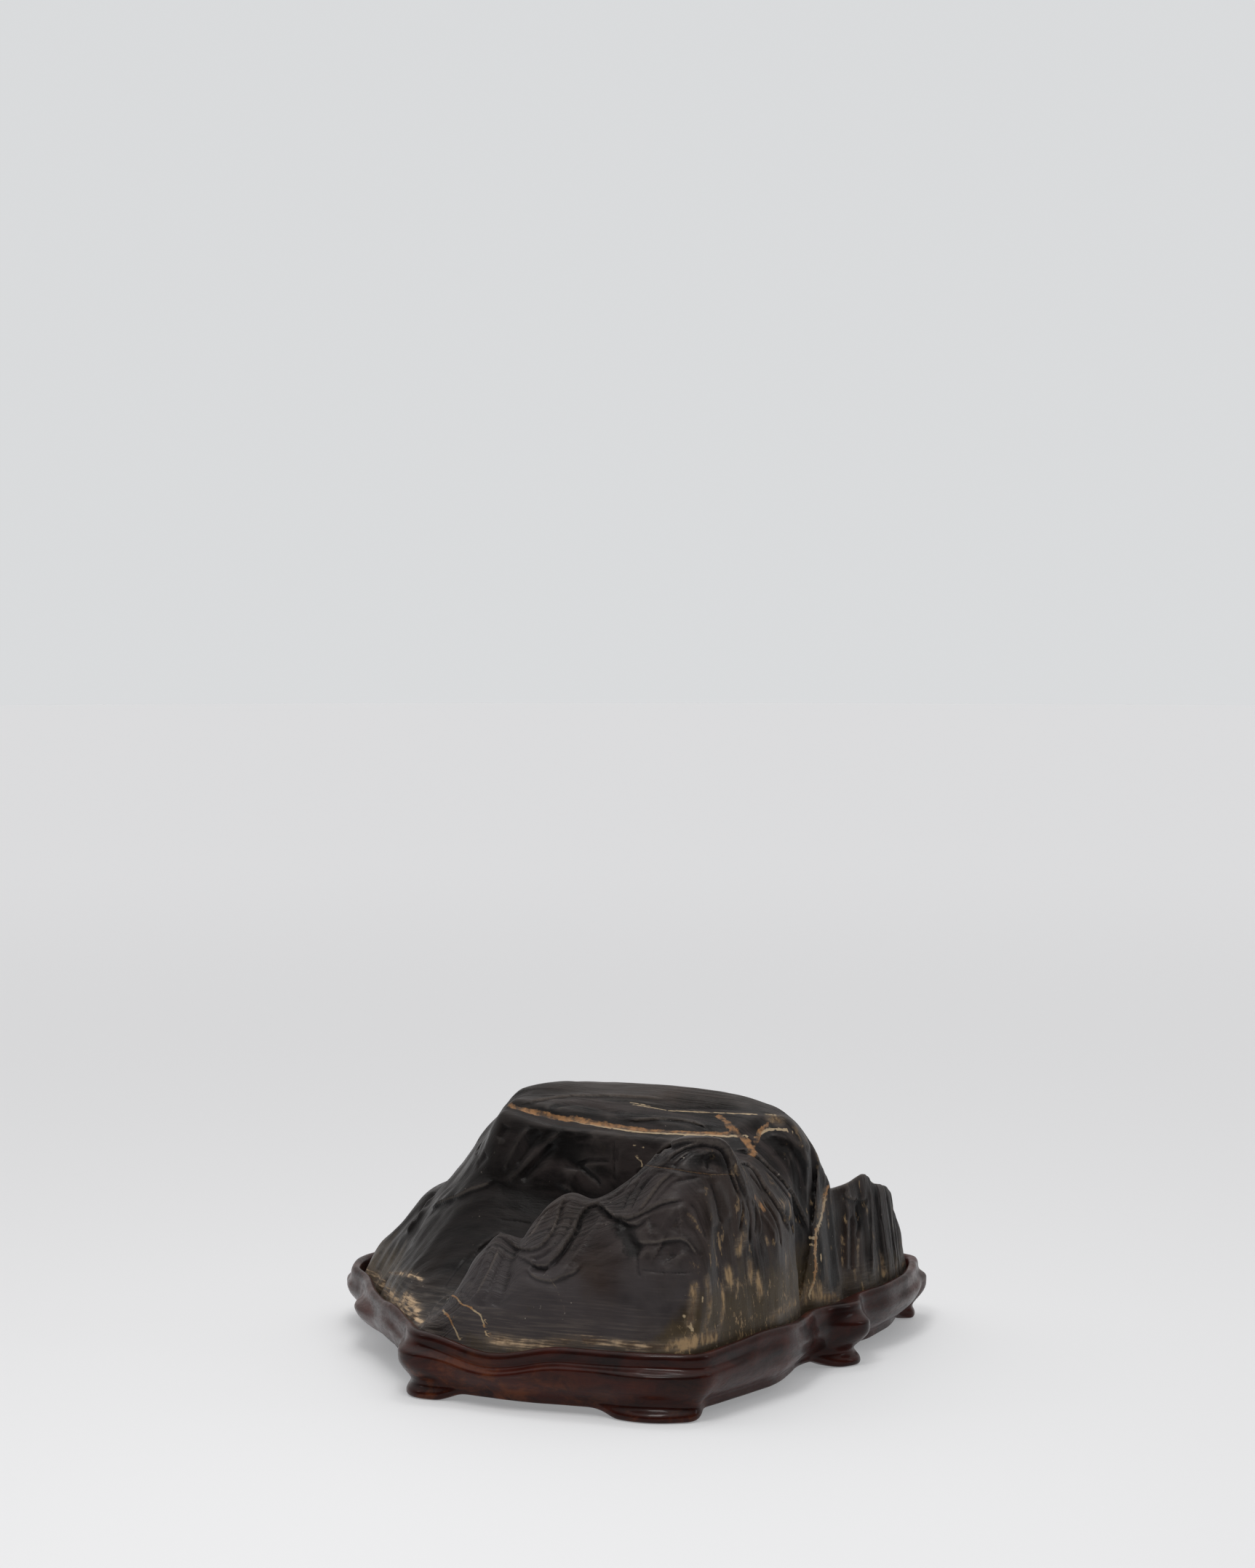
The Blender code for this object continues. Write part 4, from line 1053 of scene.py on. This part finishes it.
def standRings():  # from the seat's floor, over the rim and down to the underside
    loop = seatOutline(standValues["stations"])
    normal = outward(loop)
    flat = np.zeros(len(loop))
    rimOut, belly, footOut, foot = flat.copy(), flat.copy(), flat.copy(), flat.copy()
    rim = flat + standValues["rim"]
    for x, y, half, rimMore, bellyMore, footMore in standValues["feet"]:
        shape = softStep(alongGap(loop, (x, y)), half)
        rimOut += rimMore * shape
        belly += bellyMore * shape
        footOut += footMore * shape
        foot = np.maximum(foot, np.clip(shape * 2.4, 0, 1))
    for x, y, half, more in standValues["lobes"]:
        belly += more * softStep(alongGap(loop, (x, y)), half)
    for x, y, half, less in standValues["rimDips"]:
        rim = rim - less * softStep(alongGap(loop, (x, y)), half)
    lift = standValues["lift"] * (1 - foot)
    tuck = easedAlong(loop, standValues["tucks"]) * (1 - foot)
    bead = easedAlong(loop, standValues["beadDepth"], 16)
    full = rimOut + belly
    rings = [(flat - 9, flat + standValues["seatFloor"]),
             (flat - 1.0, flat + standValues["seatFloor"]),
             (flat - 0.1, flat + standValues["seatFloor"] + 0.3),
             (flat, rim - 3.0),
             (flat + 0.2, rim - 1.1),
             (flat + 1.0, rim - 0.25),
             (2.5 + 0.8 * rimOut, rim),
             (3.6 + rimOut, rim - 0.7),
             (4.2 + rimOut, rim - 2.1),
             (4.3 - 0.2 * bead + rimOut, rim - 3.7),
             (4.6 - 1.1 * bead + rimOut + 0.15 * belly, rim - 5.1),
             (4.8 - 1.5 * bead + rimOut + 0.35 * belly, rim - 5.9),
             (5.0 - 0.7 * bead + rimOut + 0.6 * belly, rim - 6.8),
             (5.1 + 0.8 * bead + rimOut + 0.85 * belly, rim - 7.6),
             (5.2 + 1.0 * bead + full, rim - 8.5),
             (5.3 + 0.9 * bead + full, rim - 9.6),
             (5.3 + 0.6 * bead + full - 0.2 * tuck, flat + 14.5),
             (4.8 + 0.2 * bead + 0.86 * full - 0.34 * tuck, 12.0 + 0.1 * lift),
             (3.8 + 0.7 * full - 0.5 * tuck - 0.5 * foot, 9.6 + 0.2 * lift),
             (2.0 + 0.4 * belly + 0.4 * footOut - 0.9 * tuck - 1.3 * foot, 6.4 + 0.3 * lift),
             (1.7 + 0.7 * footOut - tuck - 0.6 * foot, 4.6 + 0.5 * lift),
             (1.7 + 0.95 * footOut - tuck, 3.2 + 0.6 * lift),
             (1.7 + footOut - tuck, 1.5 + 0.85 * lift),
             (1.2 + footOut - tuck, 0.45 + lift),
             (0.3 + footOut - tuck, lift),
             (-4.6 - tuck, lift),
             (-5.4 - tuck, 0.6 + lift),
             (-6.4 - tuck, flat + standValues["underside"] - 0.5),
             (-7.4 - tuck, flat + standValues["underside"])]
    return [toFrame(np.column_stack([loop + normal * out[:, None], height])) for out, height in rings]


def makeStand():
    deselectAll()
    rings = standRings()
    bpy.ops.mesh.primitive_circle_add(vertices=standValues["stations"], radius=0.1, fill_type="NGON")
    stand = takeActive("rosewoodStand")
    station = stand.data.attributes.new("station", "INT", "POINT")
    station.data.foreach_set("value", np.arange(standValues["stations"]))
    setPoints(stand, rings[0])
    bpy.ops.object.mode_set(mode="EDIT")
    bpy.ops.mesh.select_mode(type="FACE")
    bpy.ops.mesh.select_all(action="SELECT")
    for ring in rings[1:]:
        bpy.ops.mesh.extrude_region_move()
        shaped = bmesh.from_edit_mesh(stand.data)
        number = shaped.verts.layers.int["station"]
        for vertex in shaped.verts:
            if vertex.select:
                vertex.co = ring[vertex[number]]
        bmesh.update_edit_mesh(stand.data)
    bpy.ops.mesh.select_all(action="DESELECT")
    bpy.ops.mesh.select_face_by_sides(number=4, type="GREATER")
    bpy.ops.mesh.delete(type="ONLY_FACE")
    bpy.ops.object.mode_set(mode="OBJECT")
    applyModifier(stand, "SUBSURF", levels=2, render_levels=2)
    bpy.ops.object.mode_set(mode="EDIT")
    bpy.ops.mesh.select_all(action="SELECT")
    bpy.ops.mesh.fill_holes(sides=0)
    bpy.ops.mesh.select_all(action="SELECT")
    bpy.ops.mesh.normals_make_consistent(inside=False)
    bpy.ops.object.mode_set(mode="OBJECT")
    points = getPoints(stand)
    p = toDrawing(points)
    uneven = softNoise(p, (11, 11, 7), 41) + standValues["smallNoise"] * softNoise(p, (5, 5, 4), 42)
    keep = fade(p[:, 2], 13, 17) * standValues["unevenness"]
    keep = keep + fade(p[:, 2], 9, 4) * standValues["footUnevenness"]
    setPoints(stand, points + getNormals(stand) * (uneven * keep * mm)[:, None])
    worn = (1 - np.clip(p[:, 2] / standValues["rim"], 0, 1)) * (0.25 + 0.75 * fade(p[:, 1], 30, 6))
    keepAttribute(stand, "worn", worn * (0.45 + 0.55 * fade(p[:, 0], -35, -85)))
    makeActive(stand)
    bpy.ops.object.shade_smooth()
    print("stand:", len(stand.data.polygons), "faces")
    return stand


def keepEdges(thing, name, rounds):  # how far each point stands out from its own smoothed surface
    points = getPoints(thing)
    pairs = np.zeros(len(thing.data.edges) * 2, np.int32)
    thing.data.edges.foreach_get("vertices", pairs)
    first, second = pairs[::2], pairs[1::2]
    count = np.bincount(first, minlength=len(points)) + np.bincount(second, minlength=len(points))
    soft = points.copy()
    for _ in range(rounds):
        total = np.zeros_like(soft)
        for k in range(3):
            total[:, k] = (np.bincount(first, soft[second, k], len(points))
                           + np.bincount(second, soft[first, k], len(points)))
        soft = 0.5 * soft + 0.5 * total / count[:, None]
    keepAttribute(thing, name, np.sum((points - soft) * getNormals(thing), axis=1) / mm)


# the darkest colour here also paints shade, and the pale dust and scuff colours also paint highlights
stoneColours = {"scuffAndHighlight": (0.125, 0.105, 0.090, 1), "grey": (0.052, 0.046, 0.048, 1),
                "deep": (0.0045, 0.0038, 0.0037, 1), "body": (0.033, 0.0255, 0.0245, 1),
                "dustAndHighlight": (0.060, 0.051, 0.047, 1), "brown": (0.034, 0.021, 0.015, 1),
                "olive": (0.066, 0.048, 0.026, 1), "tan": (0.56, 0.41, 0.26, 1),
                "earth": (0.070, 0.046, 0.031, 1), "orange": (0.30, 0.155, 0.065, 1),
                "cream": (0.42, 0.325, 0.205, 1), "fleck": (0.42, 0.38, 0.33, 1),
                "golden": (0.35, 0.24, 0.13, 1), "beige": (0.17, 0.132, 0.096, 1)}
# each noise's stretch in x, y and z, if any, then its scale, detail, roughness and distortion
stonePatterns = {"streaks": ((0.25, 2.2, 0.3), 90, 6, 0.62, 0.4),
                 "fineStreaks": ((0.25, 2.2, 0.3), 420, 4, 0.6),
                 "brushed": ((0.12, 0.3, 2.6), 480, 5, 0.6),
                 "upright": ((1.2, 1.2, 0.6), 140, 6, 0.7),
                 "flaked": ((1, 1, 0.22), 420, 5, 0.68),
                 "ragged": ((0.5, 0.5, 2.2), 300, 5, 0.7),
                 "chips": ((1, 1, 0.5), 620, 5, 0.72),
                 "cliffFlecks": ((1, 1.6, 0.6), 120, 5, 0.7),
                 "clouds": (None, 26, 6, 0.6, 0.6),
                 "patches": (None, 70, 5, 0.6),
                 "grain": (None, 900, 4, 0.6),
                 "brownish": (None, 17, 4, 0.5),
                 "greyish": (None, 21, 3, 0.5),
                 "broken": (None, 240, 6, 0.7),
                 "patchy": (None, 150, 5, 0.65),
                 "rusty": (None, 260, 4, 0.6),
                 "wander": (None, 330, 4, 0.7),
                 "threadTone": (None, 110, 4, 0.6),
                 "chipPatches": (None, 70, 3, 0.6),
                 "specks": (None, 620, 2, 0.5),
                 "speckPatches": (None, 45, 3, 0.6)}
# where each vein's edge begins and ends, what breaks it up, and how strongly the vein shows; the deep lines
# are painted shade in clefts and hollows
veinLooks = {"deep": (0.05, 0.7, "broken", 0.92), "tan": (0.34, 0.95, "patchy", 0.9),
             "cream": (0.34, 0.56, "broken", 0.9), "orange": (0.36, 0.62, "broken", 0.9)}
stoneFinish = {"specular": 0.13, "sheen": 0.05, "sheenRoughness": 0.35, "bumpStrength": 0.7,
               "bumpDistance": 0.0007, "layerScale": 0.85, "layerDetail": 5.0, "layerRoughness": 0.68}


def tint(tree, share, colour, name):  # lays one of the stone's colours over what is there
    return blendColours(tree, share, colour, stoneColours[name])


def layerTone(tree):  # light and dark along the thin edges of the stone's layers, also used as bumps: lighter as wear on the raised bands, painted shade in the grooves
    lines = tree.nodes.new("ShaderNodeTexNoise")
    lines.noise_dimensions = "1D"
    giveInputs(tree, lines, {"W": readAttribute(tree, "sheet"), "Scale": stoneFinish["layerScale"],
                             "Detail": stoneFinish["layerDetail"],
                             "Roughness": stoneFinish["layerRoughness"]})
    return swing(tree, lines.outputs["Fac"],
                 rangeOf(tree, readAttribute(tree, "sheetShare"), 0.14, 0.6))


def stoneBody(tree, noise, height, layers):  # dark, with dusty and brown patches drawn out along the layers; painted highlights on proud edges, bulges and the cap's top, and painted shade in creases, hollows, layer grooves, on the left hillside and behind the front crest
    front = readAttribute(tree, "front")
    drawn = plus(tree, noise["streaks"], times(tree, front, 0.10))
    colour = tint(tree, rangeOf(tree, drawn, 0.42, 0.66), stoneColours["deep"], "body")
    dustAndHighlight = times(tree, rangeOf(tree, noise["clouds"], 0.42, 0.66),
                  rangeOf(tree, noise["patches"], 0.35, 0.7))
    dustAndHighlight = times(tree, dustAndHighlight, rangeOf(tree, front, 0, 1, 0.25, 0.75))
    colour = tint(tree, dustAndHighlight, colour, "dustAndHighlight")
    colour = tint(tree, rangeOf(tree, noise["brownish"], 0.48, 0.66, 0, 0.6), colour, "brown")
    # painted highlight on proud edges and painted shade in creases
    edge = readAttribute(tree, "edge")
    colour = tint(tree, rangeOf(tree, edge, 0.03, 0.25, 0, 0.6), colour, "dustAndHighlight")
    colour = tint(tree, rangeOf(tree, edge, -0.04, -0.3, 0, 0.7), colour, "deep")
    greyish = times(tree, front, rangeOf(tree, noise["greyish"], 0.38, 0.56, 0, 0.8))
    greyish = times(tree, greyish, rangeOf(tree, height, 0.078, 0.045, 0.15, 1))
    colour = tint(tree, greyish, colour, "grey")
    # painted shade in hollows and painted light on bulges
    hollow = readAttribute(tree, "hollow")
    colour = tint(tree, rangeOf(tree, hollow, -0.1, -1.6, 0, 0.8), colour, "deep")
    colour = tint(tree, rangeOf(tree, hollow, 0.5, 2.5, 0, 0.3), colour, "dustAndHighlight")
    # lighter on the raised layer bands, as wear, and painted shade in their grooves
    colour = tint(tree, rangeOf(tree, layers, 0.02, 0.22, 0, 0.5), colour, "dustAndHighlight")
    colour = tint(tree, rangeOf(tree, layers, -0.02, -0.2, 0, 0.7), colour, "deep")
    # painted highlight along the top of the cap
    colour = tint(tree, rangeOf(tree, height, 0.1045, 0.1105, 0, 0.15), colour, "scuffAndHighlight")
    # painted shade on the left hillside and in the valley behind the front crest
    return tint(tree, times(tree, readAttribute(tree, "shaded"), 0.85), colour, "deep")


def stoneWear(tree, noise, height, colour):  # fine scratches, painted highlights along the lips, a brushed foot and an olive skin
    scratched = times(tree, readAttribute(tree, "front"),
                      rangeOf(tree, noise["brushed"], 0.48, 0.72, 0, 0.25))
    scratched = times(tree, scratched, rangeOf(tree, height, 0.062, 0.034))
    colour = tint(tree, scratched, colour, "scuffAndHighlight")
    # painted highlights along the lips
    lips = plus(tree, readAttribute(tree, "lip"), swing(tree, noise["streaks"], 0.9))
    colour = tint(tree, rangeOf(tree, lips, 0.35, 1.0, 0, 0.5), colour, "scuffAndHighlight")
    scuffAndHighlight = times(tree, readAttribute(tree, "foot"),
                    rangeOf(tree, noise["brushed"], 0.42, 0.68, 0.1, 0.8))
    colour = tint(tree, scuffAndHighlight, colour, "scuffAndHighlight")
    skin = plus(tree, readAttribute(tree, "skin"), times(tree, noise["upright"], 1.6))
    skin = plus(tree, skin, swing(tree, noise["patches"], 1.2))
    return tint(tree, rangeOf(tree, skin, 1.0, 1.9, 0, 0.8), colour, "olive")


def stoneVeins(tree, noise, colour):  # lines of colour with broken edges, the deep ones painted shade, and the share of the tan ones
    tan = readAttribute(tree, "tan")
    onCliff = readAttribute(tree, "upright")
    drawn = tree.nodes.new("ShaderNodeMix")  # along the brushed front, or down the cliff
    giveInputs(tree, drawn, {0: onCliff, 2: noise["brushed"], 3: noise["flaked"]})
    edges = {"broken": mathOf(tree, "MULTIPLY_ADD", noise["broken"], 1.5, -0.75),
             "patchy": plus(tree, mathOf(tree, "MULTIPLY_ADD", noise["patchy"], 1.3, -0.75),
                            swing(tree, drawn.outputs[0], 1.4))}
    tanTone = rangeOf(tree, plus(tree, noise["patches"], drawn.outputs[0]), 0.86, 1.16)
    tones = {"deep": stoneColours["deep"], "cream": stoneColours["cream"],
             "tan": blendColours(tree, tanTone, stoneColours["earth"],
                                 tint(tree, onCliff, stoneColours["tan"], "golden")),
             "orange": tint(tree, rangeOf(tree, noise["rusty"], 0.36, 0.6), stoneColours["earth"],
                            "orange")}
    halo = plus(tree, tan, swing(tree, noise["clouds"], 1.2))
    halo = times(tree, rangeOf(tree, halo, 0.0, 0.9, 0, 0.75), rangeOf(tree, tan, 0.0, 0.3))
    halo = times(tree, halo, rangeOf(tree, noise["brushed"], 0.35, 0.65, 0.4, 1))
    colour = tint(tree, halo, colour, "beige")
    shares = {}
    for name, (low, high, edge, strength) in veinLooks.items():
        vein = readAttribute(tree, name)
        share = rangeOf(tree, plus(tree, vein, edges[edge]), low, high)
        share = times(tree, share, rangeOf(tree, vein, 0.02, 0.2))
        shares[name] = times(tree, share, strength)
        colour = blendColours(tree, shares[name], colour, tones[name])
    return colour, shares["tan"]


def stoneThreads(tree, noise, colour):  # thin golden threads, ragged where they meet the cliff's grain
    ragged = rangeOf(tree, noise["ragged"], 0.5, 0.75, 0, 2.2)
    wander = swing(tree, noise["wander"], 3.0)
    offLine = mathOf(tree, "ABSOLUTE", plus(tree, readAttribute(tree, "thread"), wander))
    thread = rangeOf(tree, mathOf(tree, "SUBTRACT", offLine, ragged), 1.1, 0.5)
    thread = times(tree, thread, rangeOf(tree, readAttribute(tree, "threadNear"), 0.35, 0.5, 0, 0.9))
    tone = tint(tree, rangeOf(tree, noise["threadTone"], 0.42, 0.58), stoneColours["orange"], "cream")
    return blendColours(tree, thread, colour, tone)


def stoneFlecks(tree, noise, colour):  # golden chips, most in the worn skin, and a few pale specks
    chips = plus(tree, noise["chips"], times(tree, readAttribute(tree, "skin"), 0.24))
    chips = plus(tree, chips, times(tree, noise["chipPatches"], 0.4))
    colour = tint(tree, rangeOf(tree, chips, 1.01, 1.12, 0, 0.75), colour, "golden")
    specks = times(tree, rangeOf(tree, noise["specks"], 0.72, 0.76),
                   rangeOf(tree, noise["speckPatches"], 0.50, 0.62, 0.0, 0.55))
    colour = tint(tree, specks, colour, "fleck")
    onCliff = times(tree, readAttribute(tree, "cliff"),
                    rangeOf(tree, noise["cliffFlecks"], 0.58, 0.68, 0, 0.6))
    return tint(tree, onCliff, colour, "golden")


def stoneMaterial():
    material, tree, shader = newMaterial("scholarsStone")
    where = tree.nodes.new("ShaderNodeTexCoord").outputs["Object"]
    noise = makePatterns(tree, where, stonePatterns)
    place = tree.nodes.new("ShaderNodeSeparateXYZ")
    tree.links.new(where, place.inputs["Vector"])
    height = place.outputs["Z"]
    layers = layerTone(tree)
    colour = stoneBody(tree, noise, height, layers)
    colour = stoneWear(tree, noise, height, colour)
    colour, tanShare = stoneVeins(tree, noise, colour)
    colour = stoneThreads(tree, noise, colour)
    colour = stoneFlecks(tree, noise, colour)
    rough = plus(tree, rangeOf(tree, noise["streaks"], 0.3, 0.7, 0.30, 0.46),
                 rangeOf(tree, noise["patches"], 0.3, 0.7, -0.05, 0.10))
    rough = plus(tree, rough, times(tree, tanShare, 0.3))
    giveInputs(tree, shader, {"Base Color": colour, "Roughness": rough})
    shader.inputs["Specular IOR Level"].default_value = stoneFinish["specular"]
    shader.inputs["Sheen Weight"].default_value = stoneFinish["sheen"]
    shader.inputs["Sheen Roughness"].default_value = stoneFinish["sheenRoughness"]
    streakHeight = rangeOf(tree, readAttribute(tree, "sheetShare"), 0.05, 0.4, 0.12, 0.6)
    heights = plus(tree, times(tree, noise["fineStreaks"], 0.3),
                   times(tree, noise["streaks"], streakHeight))
    for relief, strength in ((layers, 2.6), (noise["grain"], 0.12), (noise["brushed"], 0.2)):
        heights = plus(tree, heights, times(tree, relief, strength))
    addBumps(tree, shader, heights, stoneFinish["bumpStrength"], stoneFinish["bumpDistance"])
    return material


standColours = {"dark": (0.0075, 0.0015, 0.0011, 1), "red": (0.046, 0.0078, 0.0042, 1),
                "amber": (0.13, 0.034, 0.010, 1)}
standPatterns = {"pores": ((0.10, 0.5, 1.6), 700, 4, 0.6, 0.3),
                 "figure": ((0.35, 0.5, 1.2), 60, 6, 0.62, 1.2),
                 "mottle": ((0.8, 0.8, 1.2), 95, 6, 0.65, 0.5)}
standFinish = {"specular": 0.1, "coat": 0.2, "coatRoughness": 0.12, "bumpStrength": 0.5,
               "bumpDistance": 0.0003}


def standMaterial():
    material, tree, shader = newMaterial("rosewood")
    where = tree.nodes.new("ShaderNodeTexCoord").outputs["Object"]
    noise = makePatterns(tree, where, standPatterns)
    colour = blendColours(tree, rangeOf(tree, noise["figure"], 0.30, 0.70), standColours["dark"],
                          standColours["red"])
    worn = rangeOf(tree, readAttribute(tree, "worn"), 0.05, 0.6)
    amber = times(tree, rangeOf(tree, noise["mottle"], 0.44, 0.68, 0, 0.8), worn)
    colour = blendColours(tree, amber, colour, standColours["amber"])
    colour = blendColours(tree, rangeOf(tree, noise["pores"], 0.58, 0.74, 0, 0.4), colour,
                          standColours["dark"])
    rough = plus(tree, rangeOf(tree, noise["mottle"], 0.3, 0.7, 0.27, 0.42),
                 rangeOf(tree, noise["pores"], 0.4, 0.7, 0, 0.1))
    giveInputs(tree, shader, {"Base Color": colour, "Roughness": rough})
    shader.inputs["Specular IOR Level"].default_value = standFinish["specular"]
    shader.inputs["Coat Weight"].default_value = standFinish["coat"]
    shader.inputs["Coat Roughness"].default_value = standFinish["coatRoughness"]
    heights = plus(tree, times(tree, noise["pores"], -0.5), noise["mottle"])
    addBumps(tree, shader, heights, standFinish["bumpStrength"], standFinish["bumpDistance"])
    return material


makeCamera()
makeRoom()
makeLights()
makeFloor()
stone = makeStoneBlock()
shapeLayers(stone)
carveLines(stone)
tree = stoneTree(stone)
kept = stoneValues["triangles"] / (2 * len(stone.data.polygons))
applyModifier(stone, "DECIMATE", ratio=min(1, kept))
paintLines(stone, tree)
makeActive(stone)
bpy.ops.object.shade_smooth()
stone.data.materials.append(stoneMaterial())
stand = makeStand()
stand.data.materials.append(standMaterial())
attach(stone, "root")
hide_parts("stone")
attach(stand, "root")
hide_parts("stand")
print("stone:", len(stone.data.polygons), "faces")
